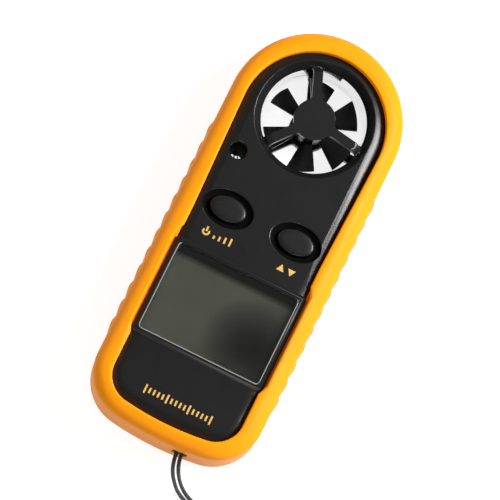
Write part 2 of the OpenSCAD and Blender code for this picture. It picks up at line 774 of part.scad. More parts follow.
module blade() {
    half = blade_arc / 2;
    reach = 2 * blade_tip_r;
    wide = (blade_tip_r * sin(half) + over) / cos(blade_pitch);
    intersection() {
        rotate([blade_pitch, 0, 0]) translate([0, -wide, -blade_t / 2]) cube([blade_tip_r, 2 * wide, blade_t]);
        translate([0, 0, -rotor_l]) linear_extrude(2 * rotor_l) intersection() {
            circle(blade_tip_r);
            polygon([[0, 0], [reach, -reach * tan(half)], [reach, reach * tan(half)]]);
        }
    }
}

module impeller() {
    back_chamfer = 0.6;
    front_chamfer = 0.8;
    color("#121011") translate([0, fan_y, rotor_z]) difference() {
        union() {
            rotate_extrude() polygon([
                [0, 0], [rotor_r - back_chamfer, 0], [rotor_r, back_chamfer], [rotor_r, rotor_l - front_chamfer],
                [rotor_r - front_chamfer, rotor_l], [0, rotor_l]
            ]);
            for (k = [0:blade_count - 1])
                rotate(blade_turn + 360 / blade_count * k) translate([0, 0, rotor_l / 2]) blade();
        }
        translate([0, 0, -over]) cylinder(h = rotor_l + 2 * over, r = shaft_r + press);
        translate([0, 0, rotor_l - magnet_t]) cylinder(h = magnet_t + over, r = magnet_r + seat / 2);
    }
}

module impeller_shaft() {
    tip = 0.45;
    tip_r = 0.2 * shaft_r;
    color("#c9ccd0") translate([0, fan_y, 0]) rotate_extrude() polygon([
        [0, shaft_low], [tip_r, shaft_low], [shaft_r, shaft_low + tip], [shaft_r, shaft_high - tip],
        [tip_r, shaft_high], [0, shaft_high]
    ]);
}

module rotor_magnet() {
    color("#55585c") translate([0, fan_y, rotor_z + rotor_l - magnet_t]) ring(magnet_r, shaft_r + press, magnet_t);
}

// A jewel with its cup at the top
module jewel() {
    cup_floor_r = 0.3 * shaft_r;
    difference() {
        cylinder(h = jewel_t, r = jewel_r);
        translate([0, 0, jewel_t - cup_depth])
            cylinder(h = cup_depth + press, r1 = cup_floor_r, r2 = shaft_r + cup_floor_r);
    }
}

module front_bearing() {
    color("#9c1c3c") translate([0, fan_y, z_face - hub_t + jewel_t + jewel_inset]) mirror([0, 0, 1]) jewel();
}

module rear_bearing() {
    color("#9c1c3c") translate([0, fan_y, z_back + hub_t - jewel_t - jewel_inset]) jewel();
}

module hall_sensor() {
    w = 3;
    d = 1.5;
    h = 2.6;
    bevel = 0.5;
    tube_gap = 0.6;
    color("#222222") translate([0, fan_y - tube_r - tube_gap - d, z_board_top]) linear_extrude(h)
        polygon([
            [-w / 2, 0], [w / 2, 0], [w / 2, d - bevel], [w / 2 - bevel, d],
            [bevel - w / 2, d], [-w / 2, d - bevel]
        ]);
}

// ---------------------------------------------------------------- temperature hole

// The leads leave the hole towards the middle of the board, clear of the screw boss
module at_leads() {
    lead_turn = 30;
    translate([-vent_x, vent_y, z_split]) rotate(lead_turn) children();
}

// Slot in the tube's wall at the parting line for the bead's leads
module thermistor_notch() {
    w = 1.8;
    h = 1;
    at_leads() translate([-w / 2, -vent_r - vent_wall - over, -h / 2]) cube([w, vent_wall + 2 * over, h]);
}

module thermistor() {
    lead_r = 0.15;
    lead_x = 0.4;
    bead_y = 0.4 * vent_r;
    lead_end = vent_r + vent_wall + 1.4;
    color("#3c1a10") at_leads() translate([0, bead_y, 0]) sphere(bead_r);
    color("#c0c0c0") at_leads() for (s = [-1, 1])
        translate([s * lead_x, bead_y, 0]) rotate([90, 0, 0]) cylinder(h = bead_y + lead_end, r = lead_r);
}

// ---------------------------------------------------------------- display

module display_lens() {
    color("#9fb0b0", 0.5) translate([0, display_y, lens_seat + seat / 2]) linear_extrude(lens_t - seat / 2)
        round_rect(lens_w, lens_h, lens_corner);
}

module lcd_panel() {
    color("#4e4f47") translate([0, display_y, lcd_bottom]) linear_extrude(lcd_t) square([lcd_w, lcd_h], center = true);
}

module backlight_plate() {
    gap = 0.4;
    w = lcd_w - 2 * gap;
    h = 2 * (strip_y - strip_w / 2 - gap / 2);
    color("#e8ecdc") translate([0, display_y, lcd_bottom - seat - backlight_t])
        linear_extrude(backlight_t) square([w, h], center = true);
}

module display_holder() {
    w = lcd_w + 2 * (holder_wall + slip);
    h = lcd_h + 2 * (holder_wall + slip);
    corner_r = 0.6;
    ledge_w = 0.3;
    holder_top = lcd_top - 3 * slip;
    color("#e4e4e0") translate([0, display_y, 0]) difference() {
        translate([0, 0, z_board_top]) linear_extrude(holder_top - z_board_top) round_rect(w, h, corner_r);
        translate([0, 0, lcd_bottom - seat]) linear_extrude(body_t)
            square([lcd_w + 2 * slip, lcd_h + 2 * slip], center = true);
        translate([0, 0, z_board_top - over]) linear_extrude(body_t)
            square([lcd_w - 2 * ledge_w, lcd_h - 2 * ledge_w], center = true);
    }
}

module contact_strips() {
    h = lcd_bottom - z_board_top;
    end_gap = 2;
    color("#d8c8d0") for (s = [-1, 1])
        translate([0, display_y + s * strip_y, z_board_top + h / 2])
            cube([lcd_w - 2 * end_gap, strip_w, h], center = true);
}

// ---------------------------------------------------------------- board

module circuit_board() {
    gap = 0.4;
    low = block_end + gap;
    color("#1d5a38") translate([0, 0, z_board]) linear_extrude(board_t) difference() {
        intersection() {
            polygon(bar_points(grow(INSIDE, -gap)));
            translate([-body_w, low]) square([2 * body_w, vent_y + vent_r - low]);
        }
        translate([0, fan_y]) circle(tube_r + gap);
        translate([-vent_x, vent_y]) circle(vent_r + vent_wall + gap);
        for (p = SCREWS) translate(p) circle(boss_r + gap);
        for (p = BOARD_SCREWS) translate(p) circle(screw_r + gap / 2);
    }
}

// Both stand under the board, between the buttons and the battery
module controller_chip() {
    w = 8;
    t = 1.1;
    x = 3;
    color("#181818") translate([x, button_y - w / 2, z_board - t]) linear_extrude(t) square(w, center = true);
}

module clock_crystal() {
    r = 1;
    l = 6;
    x = -7;
    color("#b8bcc0") translate([x, button_y - r - l, z_board - r - seat / 2]) rotate([-90, 0, 0]) cylinder(h = l, r = r);
}

module board_screws() {
    color("#b0b3b6") for (p = BOARD_SCREWS) translate([p[0], p[1], z_board])
        pan_screw(board_head_r, board_head_h, board_screw_l);
}

module housing_screws() {
    color("#b0b3b6") for (p = SCREWS) translate([p[0], p[1], screw_seat])
        pan_screw(screw_head_r, screw_head_h, screw_l);
}

// A screw that points up, with its pan head and cross recess below height 0
module pan_screw(r, h, l) {
    edge = 0.4;
    recess_w = 0.4;
    recess_depth = 0.7 * h;
    lap = 0.1;
    translate([0, 0, -h]) difference() {
        rotate_extrude() polygon(concat([[0, h], [0, 0]], arc_points(r - edge, edge, edge, -90, 0, 4), [[r, h]]));
        for (a = [0, 90]) rotate(a) cube([1.3 * r, recess_w, 2 * recess_depth], center = true);
    }
    translate([0, 0, -lap]) cylinder(h = l + lap, r = screw_r);
}

// ---------------------------------------------------------------- buttons

module button(x) {
    stem_r = 1.6;
    edge = 0.6;
    lap = 0.1;
    flange_top = collar_top - slip;
    flange_low = flange_top - flange_t;
    stem_low = z_board_top + dome_h + seat;
    top = z_face + button_rise;
    color("#303030") {
        oval_plate(x, button_y, button_w, button_h, concat(
            [[0, flange_top - lap]],
            [for (a = [0:30:90]) [edge * (1 - cos(a)), top - edge * (1 - sin(a))]]
        ));
        oval_plate(x, button_y, button_w + 2 * flange_rim, button_h + 2 * flange_rim,
            [[0, flange_low], [0, flange_top]]);
        translate([x, button_y, stem_low]) cylinder(h = flange_low - stem_low + lap, r = stem_r);
    }
}

module left_button() {
    button(-button_x);
}

module right_button() {
    button(button_x);
}

// A hollow rubber dome that carries the stem
module dome(x) {
    rim = 0.5;
    foot_h = 0.4;
    roof_r = 1.9;
    color("#cfd2d4") translate([x, button_y, z_board_top + 2 * press]) rotate_extrude() polygon([
        [dome_r - rim, 0], [dome_r, 0], [dome_r, foot_h], [roof_r, dome_h], [0, dome_h],
        [0, dome_h - rim], [roof_r - rim / 2, dome_h - rim]
    ]);
}

module left_dome() {
    dome(-button_x);
}

module right_dome() {
    dome(button_x);
}

// ---------------------------------------------------------------- battery

module coin_cell() {
    step = 0.4;
    edge = 0.5;
    cap_r = cell_r - 1.6;
    color("#c8cbce") translate([0, battery_y, z_cell]) rotate_extrude() polygon([
        [0, 0], [cell_r - edge / 2, 0], [cell_r, edge / 2], [cell_r, cell_t - step - edge],
        [cell_r - edge, cell_t - step], [cap_r, cell_t - step], [cap_r, cell_t], [0, cell_t]
    ]);
}

module positive_contact() {
    x = cell_r + 2 * press;
    foot = 2.2;
    low = z_cell + 0.7;
    high = z_board - 2 * press;
    color("#d8c890") translate([0, battery_y + contact_w / 2, 0]) rotate([90, 0, 0]) linear_extrude(contact_w)
        polygon([
            [x, low], [x + contact_t, low], [x + contact_t, high - contact_t],
            [x + contact_t + foot, high - contact_t], [x + contact_t + foot, high], [x, high]
        ]);
}

module negative_contact() {
    low = z_cell + cell_t + 2 * press;
    high = z_board - 2 * press;
    reach = 5;
    foot = 2.6;
    dip = 0.3;
    color("#d8c890") translate([-contact_w / 2, battery_y, 0]) rotate([90, 0, 90]) linear_extrude(contact_w)
        polygon([
            [-1, low + dip], [0, low], [1, low + dip], [reach, high - contact_t], [reach + foot, high - contact_t],
            [reach + foot, high], [reach - contact_t, high], [1, low + dip + contact_t], [-1, low + dip + contact_t]
        ]);
}

// ---------------------------------------------------------------- lanyard

// A route given from the post
function from_post(route) = [for (p = route) [post_x + p[0], post_y + p[1], p[2]]];

module lanyard_string_a() {
    bend = [for (a = [0:30:150]) [string_turn * cos(a), string_turn * sin(a), string_z]];
    color("#1a1a1a") tube(from_post(concat(bend, STRING_A)), string_r);
}

module lanyard_string_b() {
    color("#1a1a1a") tube(from_post(STRING_B), string_r);
}

module lanyard_coil() {
    color("#1a1a1a") translate([coil_x, coil_y, 0]) ring(coil_r + coil_w / 2, coil_r - coil_w / 2, coil_h);
}

module lanyard_knot() {
    color("#1a1a1a") translate([coil_x + coil_r + coil_w / 2 + knot_r - slip, coil_y, knot_r]) sphere(knot_r);
}

sleeve();
front_housing();
rear_housing();
duct_liner();
impeller();
impeller_shaft();
rotor_magnet();
front_bearing();
rear_bearing();
hall_sensor();
thermistor();
display_lens();
lcd_panel();
backlight_plate();
display_holder();
contact_strips();
circuit_board();
controller_chip();
clock_crystal();
left_button();
right_button();
left_dome();
right_dome();
coin_cell();
positive_contact();
negative_contact();
battery_cover();
housing_screws();
board_screws();
lanyard_string_a();
lanyard_string_b();
lanyard_coil();
lanyard_knot();
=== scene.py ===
"""Looks of a handheld weather meter in a rubber sleeve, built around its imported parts.

Sizes in the classes are in millimetres. The meter lies on its back, with its fan towards +Y.
"""

import json
import logging
import math
from collections.abc import Callable, Iterator, Sequence
from contextlib import contextmanager
from dataclasses import dataclass, field
from enum import Enum
from typing import Any, ClassVar, Protocol

import bmesh
import bpy
from mathutils import Matrix, Vector

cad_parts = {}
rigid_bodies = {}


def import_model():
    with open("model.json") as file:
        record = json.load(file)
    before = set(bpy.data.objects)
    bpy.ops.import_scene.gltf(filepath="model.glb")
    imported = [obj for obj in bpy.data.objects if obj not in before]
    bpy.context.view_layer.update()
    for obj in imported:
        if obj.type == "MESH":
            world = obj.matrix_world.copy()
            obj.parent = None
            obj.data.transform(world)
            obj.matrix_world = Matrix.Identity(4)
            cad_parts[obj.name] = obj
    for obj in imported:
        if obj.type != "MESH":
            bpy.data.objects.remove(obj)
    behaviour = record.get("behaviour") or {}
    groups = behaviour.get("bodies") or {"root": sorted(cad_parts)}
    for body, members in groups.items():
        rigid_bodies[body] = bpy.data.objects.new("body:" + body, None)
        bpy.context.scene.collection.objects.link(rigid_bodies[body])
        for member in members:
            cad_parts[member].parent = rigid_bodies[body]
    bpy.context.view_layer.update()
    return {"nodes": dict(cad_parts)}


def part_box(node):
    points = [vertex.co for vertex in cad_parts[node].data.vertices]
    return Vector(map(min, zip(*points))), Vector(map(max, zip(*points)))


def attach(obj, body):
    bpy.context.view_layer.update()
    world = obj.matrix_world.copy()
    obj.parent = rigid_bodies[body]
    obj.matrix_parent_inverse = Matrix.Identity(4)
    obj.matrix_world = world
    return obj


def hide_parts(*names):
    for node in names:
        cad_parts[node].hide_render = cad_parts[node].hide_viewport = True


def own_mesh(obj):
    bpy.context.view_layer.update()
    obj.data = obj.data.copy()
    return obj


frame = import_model()

MM = 0.001  # metres in a millimetre
NEAR = 0.02  # millimetres within which a vertex counts as on a line
WELD = 1e-6  # metres within which two vertices are one
SHARP = math.radians(20)  # the least angle of an edge that gets rounded
LOG = logging.getLogger("weather_meter")

Pair = tuple[float, float]
Point = tuple[float, float, float]
Colour = tuple[float, float, float, float]
Test = Callable[[Any], bool]


class Body(Enum):
    """The bodies that new pieces ride on."""

    CASE = "case"
    LEFT_KEY = "left_key"
    RIGHT_KEY = "right_key"


class Element(Enum):
    """What a mesh is picked by."""

    VERT = "VERT"
    EDGE = "EDGE"
    FACE = "FACE"


def linear(code: str) -> Colour:
    """The linear colour of a six-digit screen colour.

    Args:
        code: Red, green and blue as hexadecimal digits.

    Returns:
        Red, green, blue and a full alpha.
    """
    parts = [int(code[i : i + 2], 16) / 255 for i in (0, 2, 4)]
    red, green, blue = (p / 12.92 if p <= 0.04045 else ((p + 0.055) / 1.055) ** 2.4 for p in parts)
    return (red, green, blue, 1.0)


# ---------------------------------------------------------------- shader sheets


class Signal:
    """A socket of a sheet that takes part in arithmetic."""

    def __init__(self, sheet: "Sheet", socket: bpy.types.NodeSocket) -> None:
        """Wraps a socket of a sheet."""
        self.sheet = sheet
        self.socket = socket

    def math(self, operation: str, *terms: "Signal | float") -> "Signal":
        """Adds a Math node on the given terms."""
        return self.sheet.node("ShaderNodeMath", {"operation": operation}, dict(enumerate(terms)))

    def __add__(self, other: "Signal | float") -> "Signal":
        """The sum."""
        return self.math("ADD", self, other)

    def __radd__(self, other: "Signal | float") -> "Signal":
        """The sum, with the number first."""
        return self.math("ADD", other, self)

    def __sub__(self, other: "Signal | float") -> "Signal":
        """The difference."""
        return self.math("SUBTRACT", self, other)

    def __rsub__(self, other: "Signal | float") -> "Signal":
        """The difference, with the number first."""
        return self.math("SUBTRACT", other, self)

    def __mul__(self, other: "Signal | float") -> "Signal":
        """The product."""
        return self.math("MULTIPLY", self, other)

    def __rmul__(self, other: "Signal | float") -> "Signal":
        """The product, with the number first."""
        return self.math("MULTIPLY", other, self)

    def __pow__(self, other: "Signal | float") -> "Signal":
        """The power."""
        return self.math("POWER", self, other)

    def __gt__(self, other: "Signal | float") -> "Signal":
        """One where the value is greater, else zero."""
        return self.math("GREATER_THAN", self, other)

    def sine(self) -> "Signal":
        """The sine of the value."""
        return self.math("SINE", self)

    def most(self, other: "Signal | float") -> "Signal":
        """The greater of two values."""
        return self.math("MAXIMUM", self, other)

    def least(self, other: "Signal | float") -> "Signal":
        """The lesser of two values."""
        return self.math("MINIMUM", self, other)


class Sheet:
    """The node tree of one material or of the world, with lengths in millimetres."""

    def __init__(self, name: str, world: bool = False) -> None:
        """Starts an empty sheet.

        Args:
            name: The name of the material or the world.
            world: Whether it is a world.
        """
        self.owner = (bpy.data.worlds if world else bpy.data.materials).new(name)
        self.owner.use_nodes = True
        self.tree = self.owner.node_tree
        self.tree.nodes.clear()
        self.output = "ShaderNodeOutputWorld" if world else "ShaderNodeOutputMaterial"

    def node(
        self,
        kind: str,
        settings: dict[str, object] | None = None,
        sockets: dict[str | int, object] | None = None,
        out: str | int = 0,
    ) -> Signal:
        """Adds a node.

        Args:
            kind: The node's type.
            settings: Its properties, and a ramp's stops as (place, colour) pairs.
            sockets: The value or signal of each input, by name or number.
            out: The output that is returned.

        Returns:
            The chosen output.
        """
        made = self.tree.nodes.new(kind)
        for key, value in (settings or {}).items():
            if key == "stops":
                ramp = made.color_ramp
                while len(ramp.elements) < len(value):
                    ramp.elements.new(0.5)
                for stop, (place, colour) in zip(ramp.elements, value):
                    stop.position, stop.color = place, colour
            else:
                setattr(made, key, value)
        for key, value in (sockets or {}).items():
            if isinstance(value, Signal):
                self.tree.links.new(value.socket, made.inputs[key])
            else:
                made.inputs[key].default_value = value
        return Signal(self, made.outputs[out])

    def place(self, stretch: Point = (1, 1, 1)) -> Signal:
        """Places on the piece in millimetres.

        Args:
            stretch: Factors by which the pattern gets finer along each axis.

        Returns:
            The mapped coordinates.
        """
        spot = self.node("ShaderNodeTexCoord", out="Object")
        scale = tuple(s / MM for s in stretch)
        return self.node("ShaderNodeMapping", None, {"Vector": spot, "Scale": scale})

    def axis(self, vector: Signal, name: str) -> Signal:
        """One coordinate of a vector."""
        return self.node("ShaderNodeSeparateXYZ", None, {0: vector}, name)

    def noise(self, size: float, detail: float = 2.0, at: Signal | None = None) -> Signal:
        """Noise between zero and one.

        Args:
            size: How far apart its patches are.
            detail: The number of finer layers.
            at: Where it is read, on the piece's own places unless given.

        Returns:
            The noise.
        """
        sockets = {"Vector": at or self.place(), "Scale": 1 / size, "Detail": detail}
        return self.node("ShaderNodeTexNoise", None, sockets)

    def mix(self, factor: Signal | float, low: Signal | Colour, high: Signal | Colour) -> Signal:
        """A colour between two colours."""
        settings = {"data_type": "RGBA"}
        return self.node("ShaderNodeMix", settings, {0: factor, 6: low, 7: high}, 2)

    def bump(self, height: Signal, depth: float, under: Signal | None = None) -> Signal:
        """A normal that a height in millimetres tilts.

        Args:
            height: The height between zero and one.
            depth: What a height of one stands for.
            under: A normal that it adds to.

        Returns:
            The tilted normal.
        """
        sockets: dict[str | int, object] = {"Height": height, "Distance": depth * MM}
        if under is not None:
            sockets["Normal"] = under
        return self.node("ShaderNodeBump", None, sockets)

    def finish(self, **sockets: object) -> bpy.types.Material:
        """Closes the sheet with a principled surface.

        Args:
            sockets: Its inputs by name, with underscores for spaces.

        Returns:
            The material.
        """
        named = {key.replace("_", " "): value for key, value in sockets.items()}
        surface = self.node("ShaderNodeBsdfPrincipled", None, named)
        self.node_out(surface)
        return self.owner

    def node_out(self, surface: Signal) -> None:
        """Links a surface to the sheet's output."""
        target = self.tree.nodes.new(self.output)
        self.tree.links.new(surface.socket, target.inputs["Surface"])


# ---------------------------------------------------------------- finishes


@dataclass(frozen=True)
class Moulded:
    """Moulded plastic or rubber with an etched grain."""

    colour: str
    shade: str
    roughness: float = 0.45
    grain: float = 0.25
    grain_depth: float = 0.012
    specular: float = 0.5
    coat: float = 0.0
    cloud: float = 11.0
    wave: float = 4.0
    wave_depth: float = 0.03

    def material(self, name: str) -> bpy.types.Material:
        """Makes the material.

        Args:
            name: Its name.

        Returns:
            The material.
        """
        sheet = Sheet(name)
        cloud = sheet.noise(self.cloud, 3)
        grain = sheet.noise(self.grain, 3)
        wave = sheet.noise(self.wave, 1)
        tone = cloud * 0.6 + grain * 0.25
        return sheet.finish(
            Base_Color=sheet.mix(tone, linear(self.colour), linear(self.shade)),
            Roughness=self.roughness + (grain - 0.5) * 0.14 + (cloud - 0.5) * 0.1,
            Normal=sheet.bump(grain, self.grain_depth, sheet.bump(wave, self.wave_depth)),
            Specular_IOR_Level=self.specular,
            Coat_Weight=self.coat,
            Coat_Roughness=0.25,
        )


@dataclass(frozen=True)
class Metal:
    """Metal with drawn or turned streaks."""

    colour: str
    shade: str
    roughness: float = 0.2
    stretch: Point = (0.12, 0.12, 5.0)
    depth: float = 0.004
    contrast: float = 1.0
    thin: float = 1.0

    def material(self, name: str) -> bpy.types.Material:
        """Makes the material.

        Args:
            name: Its name.

        Returns:
            The material.
        """
        sheet = Sheet(name)
        streak = sheet.noise(1, 4, sheet.place(self.stretch))
        streak = ((streak - 0.5) * self.contrast + 0.5).most(0).least(1) ** self.thin
        smudge = sheet.noise(3, 2)
        return sheet.finish(
            Base_Color=sheet.mix(streak, linear(self.colour), linear(self.shade)),
            Metallic=1.0,
            Roughness=self.roughness + (streak - 0.5) * 0.16 + (smudge - 0.5) * 0.12,
            Normal=sheet.bump(streak, self.depth),
        )


@dataclass(frozen=True)
class Clear:
    """Clear moulded plastic."""

    tint: str
    roughness: float = 0.03

    def material(self, name: str) -> bpy.types.Material:
        """Makes the material.

        Args:
            name: Its name.

        Returns:
            The material.
        """
        sheet = Sheet(name)
        smear = sheet.noise(7, 3)
        return sheet.finish(
            Base_Color=linear(self.tint),
            Roughness=self.roughness + smear * 0.01,
            Transmission_Weight=1.0,
            IOR=1.49,
        )


@dataclass(frozen=True)
class DisplayGlass:
    """The grey-green glass of a display with nothing shown on it.

    A painted reflection darkens it towards the right and in one round spot, and a painted shadow
    lies under its upper edge.
    """

    # The next four give a painted reflection that darkens the glass towards the right.
    painted_lit: str = "605e54"
    painted_dim: str = "56554b"
    painted_fade_w: float = 30.0
    painted_fade: float = 0.8
    # The next three give a painted shadow under the window's upper edge: its colour, where it
    # starts and how steeply it grows.
    edge: str = "050505"
    painted_shadow_y: float = -11.8
    painted_shadow_slope: float = 0.6
    # The next three give a painted dark reflection in one round spot: its colour, middle and size.
    painted_reflection: str = "0c0c0c"
    painted_reflection_at: Pair = (10.4, -24.6)
    painted_reflection_size: Pair = (12.5, 11.8)

    def material(self, name: str) -> bpy.types.Material:
        """Makes the material.

        Args:
            name: Its name.

        Returns:
            The material.
        """
        sheet = Sheet(name)
        spot = sheet.place()
        across, along = sheet.axis(spot, "X"), sheet.axis(spot, "Y")
        # Painted reflection: the glass darkens towards the right.
        painted_fade = (across * (1 / self.painted_fade_w) + 0.5).most(0).least(1)
        film = sheet.noise(4, 2)
        glass = sheet.mix(painted_fade * self.painted_fade + film * 0.06, linear(self.painted_lit), linear(self.painted_dim))
        # Painted dark reflection in one round spot.
        aside = (across - self.painted_reflection_at[0]) * (1 / self.painted_reflection_size[0])
        up = (along - self.painted_reflection_at[1]) * (1 / self.painted_reflection_size[1])
        depth = (1 - (aside * aside + up * up)).most(0)
        glass = sheet.mix(depth, glass, linear(self.painted_reflection))
        # Painted shadow under the window's upper edge.
        start = 0.5 - self.painted_shadow_slope * self.painted_shadow_y
        shade = (along * self.painted_shadow_slope + start).most(0).least(1)
        return sheet.finish(
            Base_Color=sheet.mix(shade, glass, linear(self.edge)),
            Roughness=0.4 + film * 0.08,
            Specular_IOR_Level=0.1,
        )


@dataclass(frozen=True)
class PaintedLensEdge:
    """The milled edge of a clear lens, with a painted highlight along the left and the foot.

    The levels are the strengths of the painted highlight on its left, foot and right runs, and its
    upper run gets none.
    """

    painted_lit: str = "bcbcb6"
    painted_dim: str = "1e1e1d"
    middle_y: float = -21.0
    half: Pair = (15.5, 11.3)
    levels: Point = (1.0, 0.8, 0.4)
    slope: float = 4.0

    def material(self, name: str) -> bpy.types.Material:
        """Makes the material.

        Args:
            name: Its name.

        Returns:
            The material.
        """
        sheet = Sheet(name)
        spot = sheet.place()
        across, along = sheet.axis(spot, "X"), sheet.axis(spot, "Y")
        half_w, half_h = self.half
        # Painted highlight: strong on the left and foot runs, weaker on the right, none on the top.
        outside = (across * -1 - half_w, self.middle_y - half_h - along, across - half_w)
        runs = [(side * self.slope).most(0).least(1) for side in outside]
        left, foot, right = (run * level for run, level in zip(runs, self.levels))
        nick = sheet.noise(0.4, 2)
        return sheet.finish(
            Base_Color=sheet.mix(left.most(foot).most(right), linear(self.painted_dim), linear(self.painted_lit)),
            Roughness=0.28 + nick * 0.1,
            Normal=sheet.bump(nick, 0.004),
        )


@dataclass(frozen=True)
class BoardMask:
    """The green mask of a circuit board over its tracks."""

    mask: str = "17502f"
    track: str = "2c7a45"
    track_pitch: float = 1.3
    track_wander: float = 9.0
    track_share: float = 0.35

    def material(self, name: str) -> bpy.types.Material:
        """Makes the material.

        Args:
            name: Its name.

        Returns:
            The material.
        """
        sheet = Sheet(name)
        spot = sheet.place()
        wander = sheet.noise(9, 1)
        turns = sheet.axis(spot, "X") * (2 * math.pi / self.track_pitch)
        tracks = (turns + wander * self.track_wander).sine() > self.track_share
        weave = sheet.noise(0.5, 1)
        tone = tracks * 0.8 + weave * 0.15
        return sheet.finish(
            Base_Color=sheet.mix(tone, linear(self.mask), linear(self.track)),
            Roughness=0.3 + weave * 0.15,
            Normal=sheet.bump(tracks, 0.03),
        )


@dataclass(frozen=True)
class Braid:
    """The braided cover of a round cord."""

    dark: str = "0c0c0d"
    light: str = "35353a"
    stitches: float = 4.0
    stitch_length: float = 1.2
    cord_length: float = 170.0

    def material(self, name: str) -> bpy.types.Material:
        """Makes the material.

        Args:
            name: Its name.

        Returns:
            The material.
        """
        sheet = Sheet(name)
        spot = sheet.node("ShaderNodeTexCoord", out="UV")
        run = sheet.axis(spot, "X") * (2 * math.pi * self.cord_length / self.stitch_length)
        turn = sheet.axis(spot, "Y") * (2 * math.pi * self.stitches)
        plaits = (run + turn).sine().most((run - turn).sine()) * 0.5 + 0.5
        fibre = sheet.noise(0.12, 2)
        return sheet.finish(
            Base_Color=sheet.mix(plaits * 0.7 + fibre * 0.3, linear(self.dark), linear(self.light)),
            Roughness=0.7 + fibre * 0.2,
            Normal=sheet.bump(plaits, 0.12, sheet.bump(fibre, 0.02)),
            Sheen_Weight=0.3,
        )


@dataclass(frozen=True)
class Ink:
    """A printed mark of gold ink."""

    colour: str = "e6bd6a"
    shade: str = "c89a42"

    def material(self, name: str) -> bpy.types.Material:
        """Makes the material.

        Args:
            name: Its name.

        Returns:
            The material.
        """
        sheet = Sheet(name)
        flake = sheet.noise(0.12, 2)
        return sheet.finish(
            Base_Color=sheet.mix(flake, linear(self.colour), linear(self.shade)),
            Metallic=0.2,
            Roughness=0.35 + flake * 0.2,
            Normal=sheet.bump(flake, 0.004),
        )


SLEEVE_RUBBER = Moulded("fc9a0e", "f58d08", 0.45, 0.35, 0.012, 0.1)
HOUSING_BLACK = Moulded("181818", "141414", 0.3, 0.18, 0.008, 0.34)
# Rough, unshiny black for the sensor hole and the key dishes, darker than the shell as painted
# shade in these hollows.
DULL_PAINTED_SHADE_BLACK = Moulded("0b0b0b", "080808", 0.85, 0.3, 0.02, 0.04)
KEY_BLACK = Moulded("161516", "131213", 0.36, 0.14, 0.006, 0.35)
FAN_BLACK = Moulded("0c0b0c", "121112", 0.3, 0.5, 0.006, 0.35)
COVER_BLACK = Moulded("222222", "1d1d1d", 0.5, 0.2, 0.014, 0.3)
BRIGHT_LINER = Metal("ffffff", "74767b", 0.12, (0.1, 0.1, 4.0), 0.006, 3.0, 3.0)
SCREW_STEEL = Metal("b9bcc0", "8f9296", 0.28, (3, 3, 0.4))
CELL_STEEL = Metal("d3d5d8", "b4b6ba", 0.24, (0.4, 4, 4))
MAGNET_DARK = Metal("5a5c60", "3c3e42", 0.4, (2, 2, 2))
CONTACT_BRASS = Metal("d9c27e", "b79a52", 0.25, (0.5, 3, 3))
JEWEL_RED = Clear("b01738", 0.08)
LENS_CLEAR = Clear("f2f5f2", 0.0)
CHIP_BLACK = Moulded("141414", "0e0e0e", 0.6, 0.1, 0.008)
BEAD_BROWN = Moulded("3a1a10", "281008", 0.25, 0.4, 0.004, 0.5, 0.4)
HOLDER_WHITE = Moulded("e2e2dc", "d2d2cb", 0.5, 0.2, 0.006)
DIFFUSER = Moulded("e9eddb", "dde2cc", 0.35, 0.15, 0.01)
STRIP_PINK = Moulded("cfa9b3", "57494e", 0.6, 0.3, 0.02)
DOME_GREY = Moulded("c9ccce", "b4b8bb", 0.5, 0.3, 0.01)


# ---------------------------------------------------------------- modelling


def drop_selection() -> None:
    """Deselects every object."""
    bpy.ops.object.select_all(action="DESELECT")


def take(piece: bpy.types.Object) -> None:
    """Selects one object alone and makes it active."""
    drop_selection()
    piece.select_set(True)
    bpy.context.view_layer.objects.active = piece


@contextmanager
def editing(piece: bpy.types.Object) -> Iterator[None]:
    """Edit mode on one piece, with nothing selected at first.

    Args:
        piece: The piece that is edited.

    Yields:
        Nothing, while edit mode lasts.
    """
    take(piece)
    bpy.ops.object.mode_set(mode="EDIT")
    bpy.ops.mesh.select_all(action="DESELECT")
    yield
    bpy.ops.object.mode_set(mode="OBJECT")


def pick(piece: bpy.types.Object, kind: Element, test: Test) -> int:
    """Selects the elements of the piece in edit mode that pass a test.

    Args:
        piece: The piece in edit mode.
        kind: What it is picked by.
        test: Says whether an element is taken.

    Returns:
        How many were taken.
    """
    bpy.ops.mesh.select_mode(type=kind.value)
    bpy.ops.mesh.select_all(action="DESELECT")
    mesh = bmesh.from_edit_mesh(piece.data)
    pools = {Element.VERT: mesh.verts, Element.EDGE: mesh.edges, Element.FACE: mesh.faces}
    taken = [element for element in pools[kind] if test(element)]
    for element in taken:
        element.select_set(True)
    mesh.select_flush_mode()
    bmesh.update_edit_mesh(piece.data)
    return len(taken)


def upright(length: float) -> Test:
    """A test for edges that rise by more than a length in millimetres."""
    return lambda edge: abs((edge.verts[0].co - edge.verts[1].co).z) > length * MM


def name_piece(name: str) -> bpy.types.Object:
    """Names the active object and gives it a place of its own at the origin.

    Args:
        name: The name.

    Returns:
        The piece.
    """
    piece = bpy.context.active_object
    take(piece)
    bpy.ops.object.transform_apply(location=True, rotation=True, scale=True)
    piece.name = piece.data.name = name
    return piece


def carve(piece: bpy.types.Object, cutter: bpy.types.Object) -> None:
    """Cuts a shape from a piece and removes the shape.

    Args:
        piece: The piece that is kept.
        cutter: The shape that is cut from it.
    """
    take(piece)
    modifier = piece.modifiers.new("carve", "BOOLEAN")
    modifier.object = cutter
    modifier.operation = "DIFFERENCE"
    modifier.solver = "EXACT"
    bpy.ops.object.modifier_apply(modifier=modifier.name)
    bpy.data.objects.remove(cutter)


def smooth(piece: bpy.types.Object, degrees: float = 35) -> None:
    """Shades a piece smooth where its faces meet at less than an angle."""
    take(piece)
    bpy.ops.object.shade_smooth_by_angle(angle=math.radians(degrees))


